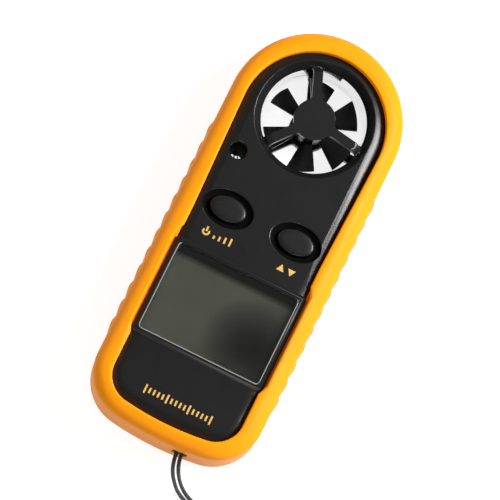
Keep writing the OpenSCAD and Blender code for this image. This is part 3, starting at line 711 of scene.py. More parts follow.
def even_normals(piece: bpy.types.Object) -> None:
    """Lets a piece's large faces rule the shading along its rounded edges."""
    take(piece)
    modifier = piece.modifiers.new("even", "WEIGHTED_NORMAL")
    modifier.keep_sharp = True
    bpy.ops.object.modifier_apply(modifier=modifier.name)


def moulded_copy(node: str, name: str) -> bpy.types.Object:
    """A merged copy of a CAD node, with its flat faces in one piece.

    Args:
        node: The node that is copied.
        name: The copy's name.

    Returns:
        The copy.
    """
    source = frame["nodes"][node]
    piece = bpy.data.objects.new(name, source.data.copy())
    piece.data.name = name
    bpy.context.scene.collection.objects.link(piece)
    with editing(piece):
        bpy.ops.mesh.select_all(action="SELECT")
        bpy.ops.mesh.remove_doubles(threshold=2e-6)
        bpy.ops.mesh.dissolve_limited(angle_limit=math.radians(0.2))
        bpy.ops.mesh.normals_make_consistent(inside=False)
    return piece


def dress(piece: bpy.types.Object, finish: bpy.types.Material) -> None:
    """Gives a piece one material all over."""
    piece.data.materials.clear()
    piece.data.materials.append(finish)


def wear(piece: bpy.types.Object, finish: bpy.types.Material, test: Test) -> None:
    """Gives the faces of a piece that pass a test a further material.

    Args:
        piece: The piece, with its first material on it.
        finish: The further material.
        test: Says whether a face wears it.
    """
    piece.data.materials.append(finish)
    with editing(piece):
        count = pick(piece, Element.FACE, test)
        piece.active_material_index = len(piece.data.materials) - 1
        bpy.ops.object.material_slot_assign()
    LOG.info("%d faces of %s wear %s", count, piece.name, finish.name)


def settle(piece: bpy.types.Object, body: Body, slot: str, *nodes: str) -> bpy.types.Object:
    """Hangs a piece on its body and hides the CAD nodes that it replaces.

    Args:
        piece: The finished piece.
        body: The body that it moves with.
        slot: The record's slot for its finish; not used.
        nodes: The CAD nodes that it replaces.

    Returns:
        The piece.
    """
    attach(piece, body.value)
    if nodes:
        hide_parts(*nodes)
    LOG.info("%s rides on %s", piece.name, body.value)
    return piece


@dataclass(frozen=True)
class Bar:
    """The outline of the instrument: round top, straight sides, round corners and a bowed foot.

    The sides close in by the taper on their first run down.
    """

    half_w: float
    top_y: float
    foot_y: float
    corner: float
    bow: float
    taper: float = 0.0
    top_steps: ClassVar[int] = 60
    corner_steps: ClassVar[int] = 14
    foot_steps: ClassVar[int] = 8

    def grown(self, by: float) -> "Bar":
        """The outline moved out by a distance on every side."""
        wide, foot = self.half_w + by, self.foot_y - by
        return Bar(wide, self.top_y, foot, self.corner + by, self.bow + by, self.taper)

    def draw(self, height: float, stops: Sequence[tuple[float, int]]) -> None:
        """Draws the outline into the mesh in edit mode with spin and extrude.

        Args:
            height: The height at which it is drawn.
            stops: Places down the straight side, each with the steps that lead to it.
        """
        inner_w = self.half_w - self.taper - self.corner
        inner_bow = self.bow - self.corner
        half = math.asin(inner_w / inner_bow)
        bow_y = self.foot_y + self.bow
        corner_y = bow_y - math.sqrt(inner_bow**2 - inner_w**2)
        side = [*stops, (corner_y, 2)]
        bpy.ops.mesh.select_all(action="DESELECT")
        pen = Vector((self.half_w, self.top_y, height)) * MM
        bpy.ops.mesh.primitive_plane_add(size=MM, location=pen)
        bpy.ops.mesh.merge(type="CENTER")
        self._arc((0, self.top_y), height, math.pi, self.top_steps)
        y = self.top_y
        for stop, steps in side:
            self._line(stop - y, steps, self.taper if y == self.top_y else 0)
            y = stop
        self._arc((-inner_w, corner_y), height, math.pi / 2 - half, self.corner_steps)
        self._arc((0, bow_y), height, 2 * half, self.foot_steps)
        self._arc((inner_w, corner_y), height, math.pi / 2 - half, self.corner_steps)
        for stop in reversed([self.top_y, *(stop for stop, _ in side[:-1])]):
            self._line(stop - y, dict(side)[y], self.taper if stop == self.top_y else 0)
            y = stop
        bpy.ops.mesh.select_linked()
        bpy.ops.mesh.remove_doubles(threshold=WELD)

    def _arc(self, centre: Pair, height: float, angle: float, steps: int) -> None:
        """Turns the pen about a centre, towards the left."""
        middle = Vector((*centre, height)) * MM
        bpy.ops.mesh.spin(steps=steps, angle=-angle, center=middle, axis=(0, 0, 1))

    def _line(self, rise: float, steps: int, aside: float) -> None:
        """Moves the pen along the length, and aside, in equal steps."""
        step = Vector((aside, rise, 0)) / steps * MM
        bpy.ops.mesh.extrude_repeat(steps=steps, offset=step)


def slab(
    name: str,
    outline: Bar,
    levels: Sequence[Pair],
    stops: Sequence[tuple[float, int]] = (),
) -> bpy.types.Object:
    """A plate with a shaped edge, bridged through outlines drawn one above the other.

    Args:
        name: The piece's name.
        outline: Its outline.
        levels: Pairs of an inset of the outline and a height, from the lowest.
        stops: Places down the straight sides, as Bar.draw takes them.

    Returns:
        The closed piece.
    """
    drop_selection()
    bpy.ops.mesh.primitive_plane_add(size=MM)
    piece = name_piece(name)
    with editing(piece):
        bpy.ops.mesh.select_all(action="SELECT")
        bpy.ops.mesh.delete(type="VERT")
        for index, (inset, height) in enumerate(levels):
            outline.grown(-inset).draw(height, stops)
            bpy.ops.object.vertex_group_assign_new()
            if index in (0, len(levels) - 1):
                bpy.ops.mesh.edge_face_add()
            if index:
                piece.vertex_groups.active_index = index - 1
                bpy.ops.object.vertex_group_select()
                bpy.ops.mesh.bridge_edge_loops()
        bpy.ops.mesh.select_all(action="SELECT")
        bpy.ops.mesh.normals_make_consistent(inside=False)
        bpy.ops.object.vertex_group_remove(all=True)
    return piece


def rounded(low: float, high: float, low_r: float, high_r: float, steps: int) -> list[Pair]:
    """Levels of a plate with both edges rounded.

    Args:
        low: The height of its lower face.
        high: The height of its upper face.
        low_r: The radius of its lower edge.
        high_r: The radius of its upper edge.
        steps: The number of steps in each edge.

    Returns:
        Pairs of inset and height.
    """
    turns = [math.pi / 2 * i / steps for i in range(steps + 1)]
    below = [(low_r * (1 - math.sin(a)), low + low_r * (1 - math.cos(a))) for a in turns]
    above = [(high_r * (1 - math.cos(a)), high - high_r * (1 - math.sin(a))) for a in turns]
    return below + above


def block(name: str, centre: Point, size: Point) -> bpy.types.Object:
    """A cutting block from a cube."""
    drop_selection()
    bpy.ops.mesh.primitive_cube_add(size=MM, location=Vector(centre) * MM, scale=size)
    return name_piece(name)


# ---------------------------------------------------------------- sleeve


@dataclass
class Sleeve:
    """The rubber sleeve around the sides, with its lip over both faces."""

    body: Bar = Bar(20, 33, -53, 10, 78)
    opening: Bar = Bar(18.1, 31.5, -51.1, 7.3, 76.1, 1.0)
    waist_y: float = 0.0
    side: float = 2.0
    lip: float = 1.6
    face_z: float = 16.6
    top_z: float = 18.2
    front_edge: float = 3.8
    back_edge: float = 2.4
    edge_steps: int = 8
    wall_rows: Pair = (0.6, 1.4)
    lip_edge: float = 0.5
    lip_steps: int = 5
    fit: float = 0.05
    room_edges: Pair = (4, 5)
    room_steps: int = 6
    ridge_y: float = 20.0
    ridge_pitch: float = 4.9
    ridge_count: int = 12
    ridge_rise: tuple[float, ...] = (0.5, 0.475, 0.39, 0.24, 0.04)
    ridge_steps: int = 10
    ridge_end: float = 0.6
    notch: Pair = (18.2, 12.0)
    notch_y: float = -19.9
    notch_slant: float = 2.6
    notch_sink: float = 0.6
    notch_edge: float = 0.4
    slot: tuple[Point, Point] = ((6.4, -53, 9.1), (3.8, 8, 4))

    def build(self) -> None:
        """Makes and dresses the sleeve."""
        sleeve = self.shell()
        self.raise_ridges(sleeve)
        self.hollow(sleeve)
        self.cut_notch(sleeve)
        carve(sleeve, block("string_slot", *self.slot))
        smooth(sleeve, 40)
        dress(sleeve, SLEEVE_RUBBER.material("sleeve_rubber"))
        settle(sleeve, Body.CASE, "sleeve_rubber", "sleeve")

    def shell(self) -> bpy.types.Object:
        """The sleeve's outside as one closed plate, with steps where its ridges come.

        Returns:
            The plate.
        """
        first = self.ridge_y + self.ridge_pitch / 2
        last = first - self.ridge_count * self.ridge_pitch
        stops = [(first, 3), (last, self.ridge_count * self.ridge_steps)]
        levels = rounded(0, self.top_z, self.back_edge, self.front_edge, self.edge_steps)
        half = len(levels) // 2
        low, high = levels[half - 1][1], levels[half][1]
        near, far = self.wall_rows
        rows = (low + near, low + far, (low + high) / 2, high - far, high - near)
        walls = [(0.0, row) for row in rows]
        outline = self.body.grown(self.side)
        return slab("sleeve_skin", outline, levels[:half] + walls + levels[half:], stops)

    def raise_ridges(self, sleeve: bpy.types.Object) -> None:
        """Draws the grip ridges out of the straight sides, lower in their first and last rows.

        Args:
            sleeve: The closed plate.
        """
        step = self.ridge_pitch / self.ridge_steps
        wide = self.body.half_w + self.side
        foot, head = self.back_edge, self.top_z - self.front_edge
        turn = sum(self.wall_rows) / 2
        bands = (
            (foot + NEAR, foot + turn, self.ridge_end),
            (foot + turn, head - turn, 1.0),
            (head - turn, head - NEAR, self.ridge_end),
        )
        with editing(sleeve):
            for column, rise in enumerate(self.ridge_rise):
                for low, high, share in bands:

                    def on_ridge(vert: bmesh.types.BMVert) -> bool:
                        """Whether a vertex lies on this column of a ridge.

                        Args:
                            vert: The vertex.

                        Returns:
                            Whether it does.
                        """
                        x, y, z = vert.co / MM
                        along = (self.ridge_y - y) / self.ridge_pitch
                        place = abs(along - round(along)) * self.ridge_pitch
                        on_row = -0.5 < along < self.ridge_count - 0.5 and low < z < high
                        on_column = abs(place - column * step) < step / 4
                        return on_row and on_column and abs(x) > wide - NEAR

                    if pick(sleeve, Element.VERT, on_ridge):
                        factor = 1 + rise * share / wide
                        bpy.ops.transform.resize(value=(factor, 1, 1), center_override=(0, 0, 0))

    def hollow(self, sleeve: bpy.types.Object) -> None:
        """Cuts the room for the instrument and the opening in both faces.

        Args:
            sleeve: The closed plate with its ridges.
        """
        levels = rounded(self.lip, self.face_z, *self.room_edges, self.room_steps)
        carve(sleeve, slab("instrument_room", self.body.grown(self.fit), levels))
        edge, past = self.lip_edge, 1.0
        quarter = [math.pi / 2 * i / self.lip_steps for i in range(self.lip_steps + 1)]
        mouth = [(-edge * (1 - math.sin(a)), edge * (1 - math.cos(a))) for a in quarter]
        top = [(inset, self.top_z - height) for inset, height in reversed(mouth)]
        levels = [(-edge, -past), *mouth, *top, (-edge, self.top_z + past)]
        carve(sleeve, slab("face_opening", self.opening, levels, [(self.waist_y, 2)]))

    def cut_notch(self, sleeve: bpy.types.Object) -> None:
        """Frees the raised frame of the display, with slanted ends and a flared upper edge.

        Args:
            sleeve: The hollow sleeve.
        """
        half_w, half_h = self.notch
        step = half_w - self.opening.half_w + self.opening.taper
        full_h = half_h + self.notch_slant * step
        low, high, over = self.face_z - self.notch_sink, self.top_z - self.notch_edge, 1.0
        middle = Vector((0, self.notch_y, (low + high) / 2))
        cutter = block("frame_notch", tuple(middle), (2 * half_w, 2 * full_h, high - low))
        with editing(cutter):
            pick(cutter, Element.EDGE, upright(1))
            bpy.ops.mesh.bevel(offset_type="ABSOLUTE", offset=step * MM, segments=1, affect="EDGES")
            pick(cutter, Element.VERT, lambda vert: abs(abs(vert.co.x) - half_w * MM) < WELD)
            slant = (1, half_h / (full_h - step), 1)
            bpy.ops.transform.resize(value=slant, center_override=middle * MM)
            pick(cutter, Element.FACE, lambda face: face.normal.z > 0.9)
            bpy.ops.mesh.extrude_region_move(TRANSFORM_OT_translate={"value": (0, 0, over * MM)})
            flare = (1 + over / half_w, 1 + over / full_h, 1)
            bpy.ops.transform.resize(value=flare, center_override=middle * MM)
        carve(sleeve, cutter)


# ---------------------------------------------------------------- housings and keys


@dataclass
class Housings:
    """The two black half shells, with the frame of the display and both guards."""

    frame_top: float = 17.4
    face_z: float = 16.6
    display_y: float = -21.0
    frame_half: Pair = (17.9, 13.4)
    frame_trim: Pair = (0.5, 0.4)
    pocket_half: Pair = (16.4, 12.0)
    frame_edge: float = 0.22
    pocket_edge: float = 0.1
    hole: Pair = (-13.4, 17.5)
    hole_r: float = 2.6
    well_half: Pair = (6.65, 4.65)
    key_x: float = 9.2
    key_y: float = 3.2
    rim_edge: float = 0.28
    rim_slack: float = 0.06
    hollow_drop: float = 0.25

    def build(self) -> None:
        """Makes and dresses both shells."""
        black, dull_painted_shade = HOUSING_BLACK.material("housing_black"), DULL_PAINTED_SHADE_BLACK.material("hole_painted_shade_black")
        front = moulded_copy("front_housing", "front_shell")
        self.round_frame(front)
        self.round_wells(front)
        rear = moulded_copy("rear_housing", "rear_shell")
        for shell, node in ((front, "front_housing"), (rear, "rear_housing")):
            smooth(shell, 32)
            even_normals(shell)
            dress(shell, black)
            # The sensor hole and the key dishes wear a rough black that is darker than the shell:
            # painted shade in these hollows.
            wear(shell, dull_painted_shade, self.in_hollow)
            settle(shell, Body.CASE, "housing_black", node)

    def in_hollow(self, face: bmesh.types.BMFace) -> bool:
        """Whether a face lies in the hole of the temperature sensor or in the dish of a key.

        Args:
            face: A face of a shell.

        Returns:
            Whether it does.
        """
        x, y, z = face.calc_center_median() / MM
        half_w, half_h = self.well_half
        in_hole = math.dist((x, y), self.hole) < self.hole_r
        in_dish = math.hypot((abs(x) - self.key_x) / half_w, (y - self.key_y) / half_h) < 1
        steep, upward = abs(face.normal.z) < 0.8, face.normal.z > -0.1
        return z < self.face_z - self.hollow_drop and (in_hole and steep or in_dish and upward)

    def round_frame(self, front: bpy.types.Object) -> None:
        """Trims the raised frame of the display and rounds the edges of its top.

        Args:
            front: The front shell.
        """

        def inside(vert: bmesh.types.BMVert, half: Pair) -> bool:
            """Whether a vertex lies within a rectangle about the display's middle."""
            x, y, _ = vert.co / MM
            return abs(x) < half[0] and abs(y - self.display_y) < half[1]

        def in_pocket(vert: bmesh.types.BMVert) -> bool:
            """Whether a vertex belongs to the pocket of the lens."""
            return inside(vert, self.pocket_half)

        def on_frame(vert: bmesh.types.BMVert) -> bool:
            """Whether a vertex belongs to the frame around the pocket."""
            near = inside(vert, (self.frame_half[0] + NEAR, self.frame_half[1] + NEAR))
            return near and abs(vert.co.z / MM - self.face_z) < 1 and not in_pocket(vert)

        def on_top(edge: bmesh.types.BMEdge) -> bool:
            """Whether an edge bounds the top of the frame.

            Args:
                edge: The edge.

            Returns:
                Whether it does.
            """
            flat = all(abs(vert.co.z / MM - self.frame_top) < NEAR for vert in edge.verts)
            near = all(on_frame(vert) or in_pocket(vert) for vert in edge.verts)
            return flat and near and edge.is_manifold and edge.calc_face_angle() > SHARP

        trim = [1 - trim / half for trim, half in zip(self.frame_trim, self.frame_half)]
        with editing(front):
            pick(front, Element.VERT, on_frame)
            bpy.ops.transform.resize(value=(*trim, 1), center_override=(0, self.display_y * MM, 0))
            pick(front, Element.EDGE, lambda edge: on_top(edge) and on_frame(edge.verts[0]))
            bpy.ops.mesh.bevel(offset=self.frame_edge * MM, segments=3, affect="EDGES")
            pick(front, Element.EDGE, lambda edge: on_top(edge) and in_pocket(edge.verts[0]))
            bpy.ops.mesh.bevel(offset=self.pocket_edge * MM, segments=2, affect="EDGES")

    def round_wells(self, front: bpy.types.Object) -> None:
        """Rounds the rims of the dishes around the keys.

        Args:
            front: The front shell.
        """
        half_w, half_h = self.well_half

        def on_rim(edge: bmesh.types.BMEdge) -> bool:
            """Whether an edge lies along the rim of a dish.

            Args:
                edge: The edge.

            Returns:
                Whether it does.
            """
            for vert in edge.verts:
                x, y, z = vert.co / MM
                reach = ((abs(x) - self.key_x) / half_w) ** 2 + ((y - self.key_y) / half_h) ** 2
                if abs(z - self.face_z) >= NEAR or abs(reach - 1) >= self.rim_slack:
                    return False
            return not edge.is_manifold or edge.calc_face_angle() > SHARP

        with editing(front):
            LOG.info("%d edges on the key rims", pick(front, Element.EDGE, on_rim))
            bpy.ops.mesh.bevel(offset=self.rim_edge * MM, segments=3, affect="EDGES")


@dataclass
class Keys:
    """The two buttons, with crowned caps."""

    top_z: float = 16.8
    crown: tuple[Pair, ...] = ((0.4, 0.05), (0.4, 0.03), (0.3, 0.01))

    def build(self) -> None:
        """Makes and dresses both buttons."""
        black = KEY_BLACK.material("key_black")
        for side, body in (("left", Body.LEFT_KEY), ("right", Body.RIGHT_KEY)):
            key = moulded_copy(f"{side}_button", f"{side}_key")
            self.raise_crown(key)
            smooth(key, 50)
            even_normals(key)
            dress(key, black)
            settle(key, body, "button_black", f"{side}_button")

    def raise_crown(self, key: bpy.types.Object) -> None:
        """Insets and lifts the top of a cap until it is gently domed.

        Args:
            key: The key.
        """

        def on_top(face: bmesh.types.BMFace) -> bool:
            """Whether a face is the flat top of the cap."""
            height = face.calc_center_median().z / MM
            return face.normal.z > 0.99 and height > self.top_z - 0.1

        with editing(key):
            pick(key, Element.FACE, on_top)
            for inset, lift in self.crown:
                bpy.ops.mesh.inset(thickness=inset * MM, depth=0)
                bpy.ops.transform.translate(value=(0, 0, lift * MM))
            bpy.ops.mesh.poke()


# ---------------------------------------------------------------- display and print


@dataclass
class DisplayLens:
    """The clear lens with its polished edges, which wear a painted highlight."""

    corner: float = 1.2
    chamfer: float = 0.22

    def build(self) -> None:
        """Makes and dresses the lens."""
        low, high = (Vector(corner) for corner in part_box("display_lens"))
        middle, size = (low + high) / 2 / MM, (high - low) / MM
        lens = block("clear_lens", tuple(middle), tuple(size))
        with editing(lens):
            pick(lens, Element.EDGE, upright(size.z / 2))
            bpy.ops.mesh.bevel(offset=self.corner * MM, segments=8, affect="EDGES")
            pick(lens, Element.EDGE, lambda edge: all(v.co.z > high.z - WELD for v in edge.verts))
            bpy.ops.mesh.bevel(offset=self.chamfer * MM, segments=2, affect="EDGES")
        smooth(lens, 30)
        even_normals(lens)
        dress(lens, LENS_CLEAR.material("lens_clear"))
        # Its chamfers wear a painted highlight, strongest along the left and the foot.
        edge = PaintedLensEdge().material("lens_edge_painted_highlight")
        wear(lens, edge, lambda face: 0.2 < face.normal.z < 0.95)
        settle(lens, Body.CASE, "lens_clear", "display_lens")


class Shape(Enum):
    """The shapes that the printed marks are made of."""

    BAR = "bar"
    RISING = "rising"
    FALLING = "falling"
    RING = "ring"


@dataclass(frozen=True)
class Stroke:
    """One shape of a printed mark: its middle and its size."""

    shape: Shape
    x: float
    y: float
    w: float
    h: float


@dataclass
class Prints:
    """The gold marks on the face: a power sign, bars, arrows and a row of ticks."""

    face_z: float = 16.6
    thickness: float = 0.03
    line: float = 0.48
    ring_gap: float = 0.62
    ring_sides: int = 32
    bar_foot: Pair = (-9.3, -5.1)
    bar_pitch: float = 1.4
    bar_heights: tuple[float, ...] = (0.8, 1.2, 1.6, 2.0)
    tick_start: Pair = (-7.8, -45.4)
    tick_pitch: float = 1.16
    tick_count: int = 16
    tick_long: float = 2.3
    tick_short: float = 1.4

    def build(self) -> None:
        """Makes and dresses the three marks."""
        ink = Ink().material("gold_ink")
        power = [
            Stroke(Shape.RING, -11.6, -4.2, 2.0, 2.0),
            Stroke(Shape.BAR, -11.6, -3.5, self.line, 1.3),
        ]
        arrows = [
            Stroke(Shape.RISING, 8.6, -4.3, 2.0, 1.7),
            Stroke(Shape.FALLING, 11.3, -4.0, 2.0, 1.7),
        ]
        marks = {"left_mark": power + self.bars(), "right_mark": arrows, "foot_mark": self.ticks()}
        for name, strokes in marks.items():
            mark = self.mark(name, strokes)
            dress(mark, ink)
            settle(mark, Body.CASE, "housing_black")

    def bars(self) -> list[Stroke]:
        """A row of bars that gets higher to the right.

        Returns:
            Its strokes.
        """
        x, y = self.bar_foot
        return [
            Stroke(Shape.BAR, x + self.bar_pitch * i, height / 2 + y, self.line, height)
            for i, height in enumerate(self.bar_heights)
        ]

    def ticks(self) -> list[Stroke]:
        """A row of ticks, of which each fifth is long.

        Returns:
            Its strokes.
        """
        x, y = self.tick_start
        heights = [self.tick_short if i % 5 else self.tick_long for i in range(self.tick_count)]
        return [
            Stroke(Shape.BAR, self.tick_pitch * i + x, y, self.line, height)
            for i, height in enumerate(heights)
        ]

    def mark(self, name: str, strokes: Sequence[Stroke]) -> bpy.types.Object:
        """Draws one mark and gives it its thickness.

        Args:
            name: The piece's name.
            strokes: Its shapes.

        Returns:
            The mark.
        """
        drop_selection()
        bpy.ops.mesh.primitive_plane_add(size=MM)
        piece = name_piece(name)
        with editing(piece):
            bpy.ops.mesh.select_all(action="SELECT")
            bpy.ops.mesh.delete(type="VERT")
            for stroke in strokes:
                self._draw(piece, stroke)
            bpy.ops.mesh.select_all(action="SELECT")
            rise = {"value": (0, 0, self.thickness * MM)}
            bpy.ops.mesh.extrude_region_move(TRANSFORM_OT_translate=rise)
            bpy.ops.mesh.select_all(action="SELECT")
            bpy.ops.mesh.normals_make_consistent(inside=False)
        return piece

    def _draw(self, piece: bpy.types.Object, stroke: Stroke) -> None:
        """Adds one flat shape to the mesh in edit mode.

        Args:
            piece: The mark.
            stroke: The shape.
        """
        place = Vector((stroke.x, stroke.y, self.face_z)) * MM
        size = Vector((stroke.w, stroke.h, 1)) * MM
        if stroke.shape is Shape.BAR:
            bpy.ops.mesh.primitive_plane_add(size=1, location=place, scale=size)
            bpy.ops.transform.resize(value=(*size.xy, 1), center_override=place)
        elif stroke.shape is Shape.RING:
            bpy.ops.mesh.primitive_circle_add(
                vertices=self.ring_sides, radius=stroke.w / 2 * MM, fill_type="NGON", location=place
            )
            bpy.ops.mesh.inset(thickness=self.line * MM)
            bpy.ops.mesh.delete(type="FACE")

            def in_gap(face: bmesh.types.BMFace) -> bool:
                """Whether a face of the ring is in its gap at the top."""
                away = (face.calc_center_median() - place) / MM
                return away.length < stroke.w and away.y > 0 and abs(away.x) < self.ring_gap

            pick(piece, Element.FACE, in_gap)
            bpy.ops.mesh.delete(type="FACE")
        else:
            turn = 0 if stroke.shape is Shape.RISING else math.pi
            bpy.ops.mesh.primitive_circle_add(
                vertices=3,
                radius=stroke.w / math.sqrt(3) * MM,
                fill_type="NGON",
                location=place,
                rotation=(0, 0, turn),
            )


# ---------------------------------------------------------------- lanyard


@dataclass
class Lanyard:
    """Two braided strings from the post inside the foot, with their spare length in a coil."""

    thickness: float = 1.0
    post: Pair = (6.4, -49.6)
    turn: float = 2.02
    turn_z: float = 9.2
    leaves_a: Point = (5.7, -55, 9.1)
    leaves_b: Point = (7.1, -55, 9.1)
    coil: Pair = (24.0, -70.9)
    coil_steps: int = 18
    coil_step_from: float = 0.7
    knot: Point = (32.9, -70.9, 1.4)
    knot_r: float = 1.0
    knot_rise: float = 0.75
    knot_steps: int = 36
    knot_length: float = 18.0
    route_a: list[Point] = field(
        default_factory=lambda: [
            (4.4, -49.6, 9.2), (4.5, -51, 9.2), (5, -53, 9.2), (5.7, -55, 9.1),
            (6.1, -57, 8.6), (6.9, -59, 7), (8.4, -60.8, 4.4), (10.4, -62.3, 1.9),
            (12.7, -63.3, 0.7), (15, -64, 0.5), (17.6, -64.5, 0.5), (20.6, -64.8, 0.5),
        ]
    )
    route_b: list[Point] = field(
        default_factory=lambda: [
            (8.4, -49.68, 9.2), (8.3, -51, 9.2), (8.1, -52, 9.2), (7.8, -53, 9.2),
            (7.1, -55, 9.1), (7.4, -56.8, 8.5), (8.2, -58.5, 7), (8.8, -59.3, 5.8),
            (9.5, -60, 4.4), (11.3, -61.3, 1.9), (13.4, -62.3, 0.7), (15.5, -62.9, 0.5),
            (18, -63.4, 0.5), (20.8, -63.7, 0.5),
        ]
    )
    turns_a: tuple[Pair, ...] = ((6.0, 0.5), (5.0, 0.5), (5.0, 1.5), (6.0, 1.5))
    turns_b: tuple[Pair, ...] = ((7.1, 0.5), (7.1, 1.5), (5.0, 2.5))
    tail_a: tuple[Point, ...] = (
        (80, 6.2, 1.7), (65, 6.7, 2.2), (50, 7.2, 2.6), (35, 7.9, 2.1), (20, 8.6, 1.6),
    )
    tail_b: tuple[Point, ...] = (
        (60, 5.1, 2.5), (45, 5.6, 2.6), (30, 6.4, 2.7), (15, 7.2, 2.7), (4, 7.9, 2.1),
    )

    def build(self) -> None:
        start = [self._about(self.post, 30 * i, self.turn, self.turn_z) for i in range(6)]
        knot = self.make_knot()
        way_a = start + self.route_a + self.wound(self.turns_a, self.tail_a)
        way_b = self.route_b + self.wound(self.turns_b, self.tail_b)
        nodes_a = ("lanyard_string_a", "lanyard_coil")
        self.string("lanyard_cord_a", way_a, nodes_a)
        self.string("lanyard_cord_b", way_b, ("lanyard_string_b",))

    def wound(self, turns: Sequence[Pair], tail: Sequence[Point]) -> list[Point]:
        """The way through the coil and out to the knot.

        Args:
            turns: The radius and height of each turn.
            tail: Angle, radius and height of the points that leave the coil.

        Returns:
            Points clockwise from the top of the coil.
        """
        steps, first = self.coil_steps, self.coil_step_from
        way: list[Point] = []
        for number, (radius, height) in enumerate(turns):
            after = turns[min(number + 1, len(turns) - 1)]
            for i in range(steps):
                part = max(0.0, (i / steps - first) / (1 - first))
                ease = part * part * (3 - 2 * part)
                r = radius + (after[0] - radius) * ease
                z = height + (after[1] - height) * ease
                way.append(self._about(self.coil, 90 - 360 * i / steps, r, z))
        away = [self._about(self.coil, *spot) for spot in tail]
        x, y, z = self.knot
        return [*way, *away, (x - self.thickness / 2, y, z)]

    def _about(self, middle: Pair, angle: float, radius: float, height: float) -> Point:
        """A point about a middle.

        Args:
            middle: The middle, seen from above.
            angle: The angle from +X, in degrees.
            radius: How far out the point is.
            height: How high it is.

        Returns:
            The point.
        """
        turn = math.radians(angle)
        x, y = middle
        return (x + radius * math.cos(turn), y + radius * math.sin(turn), height)

    def _curve(self, name: str, way: Sequence[Point], closed: bool) -> bpy.types.Object:
        """A round curve as thick as the string, through points.

        Args:
            name: The piece's name.
            way: The points that it passes.
            closed: Whether its ends join.

        Returns:
            The curve.
        """
        data = bpy.data.curves.new(name, "CURVE")
        data.dimensions = "3D"
        data.bevel_depth = self.thickness / 2 * MM
        data.bevel_resolution = 3
        data.resolution_u = 4
        data.use_fill_caps = not closed
        spline = data.splines.new("BEZIER")
        spline.bezier_points.add(len(way) - 1)
        for knot, spot in zip(spline.bezier_points, way):
            knot.co = Vector(spot) * MM
            knot.handle_left_type = knot.handle_right_type = "AUTO"
        spline.use_cyclic_u = closed
        piece = bpy.data.objects.new(name, data)
        bpy.context.scene.collection.objects.link(piece)
        return piece

    def string(
        self,
        name: str,
        way: Sequence[Point],
        nodes: tuple[str, ...],
    ) -> None:
        """Makes one string of the lanyard.

        Args:
            name: The piece's name.
            way: The points that it passes.
            nodes: The CAD nodes that it replaces.
        """
        piece = self._curve(name, way, False)
        length = sum((Vector(b) - Vector(a)).length for a, b in zip(way, way[1:]))
        LOG.info("%s is %.1f mm long", name, length)
        dress(piece, Braid(cord_length=length).material(name + "_braid"))
        settle(piece, Body.CASE, "string_black", *nodes)

    def make_knot(self) -> bpy.types.Object:
        """The overhand knot that joins both ends.

        Returns:
            The knot.
        """
        x, y, z = self.knot
        way = []
        for i in range(self.knot_steps):
            t = 2 * math.pi * i / self.knot_steps
            reach = self.knot_r * (2 + math.cos(3 * t)) / 3
            rise = self.knot_rise * self.knot_r * math.sin(3 * t)
            way.append((x + reach * math.cos(2 * t), y + reach * math.sin(2 * t), z + rise))
        curve = self._curve("lanyard_knot_curve", way, True)
        take(curve)
        bpy.ops.object.convert(target="MESH")
        knot = name_piece("lanyard_end_knot")
        dress(knot, Braid(cord_length=self.knot_length).material("knot_braid"))
        return settle(knot, Body.CASE, "string_black", "lanyard_knot")


# ---------------------------------------------------------------- rubber domes


@dataclass
class Domes:
    """The rubber domes under the keys."""

    height: float = 1.6
    travel: float = 0.6
    foot_z: float = 10.3

    def build(self) -> None:
        """Makes both domes."""
        finish = DOME_GREY.material("dome_grey")
        for side in ("left", "right"):
            node = f"{side}_dome"
            dome = moulded_copy(node, f"{side}_rubber_dome")
            smooth(dome)
            dress(dome, finish)
            settle(dome, Body.CASE, "dome_rubber", node)
            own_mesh(dome)


# ---------------------------------------------------------------- carried-over solids


class Finish(Protocol):
    """What a piece can be dressed in."""

    def material(self, name: str) -> bpy.types.Material:
        """Makes the material under a name."""


@dataclass
class CarriedOver:
    """The solids whose shape is right as it is, each with its finish."""

    finishes: dict[str, tuple[Finish, tuple[str, ...]]] = field(
        default_factory=lambda: {
            "fan_black": (FAN_BLACK, ("impeller",)),
            "cover_black": (COVER_BLACK, ("battery_cover",)),
            "bright_liner": (BRIGHT_LINER, ("duct_liner",)),
            "screw_steel": (
                SCREW_STEEL,
                ("housing_screws", "board_screws", "impeller_shaft", "clock_crystal"),
            ),
            "cell_steel": (CELL_STEEL, ("coin_cell",)),
            "magnet_dark": (MAGNET_DARK, ("rotor_magnet",)),
            "contact_brass": (CONTACT_BRASS, ("positive_contact", "negative_contact")),
            "jewel_red": (JEWEL_RED, ("front_bearing", "rear_bearing")),
            "chip_black": (CHIP_BLACK, ("controller_chip", "hall_sensor")),
            "bead_brown": (BEAD_BROWN, ("thermistor",)),
            "holder_white": (HOLDER_WHITE, ("display_holder",)),
            "diffuser": (DIFFUSER, ("backlight_plate",)),
            "strip_pink": (STRIP_PINK, ("contact_strips",)),
            # The display glass carries a painted reflection and a painted shadow.
            "display_grey": (DisplayGlass(), ("lcd_panel",)),
            "board_green": (BoardMask(), ("circuit_board",)),
        }
    )

    def build(self) -> None:
        """Dresses every carried-over solid."""
        for name, (finish, nodes) in self.finishes.items():
            material = finish.material(name)
            for node in nodes:
                solid = frame["nodes"][node]
                for slot in solid.material_slots:
                    slot.material = material
                if not solid.material_slots:
                    solid.data.materials.append(material)
                LOG.info("%s wears %s", node, name)


# ---------------------------------------------------------------- studio


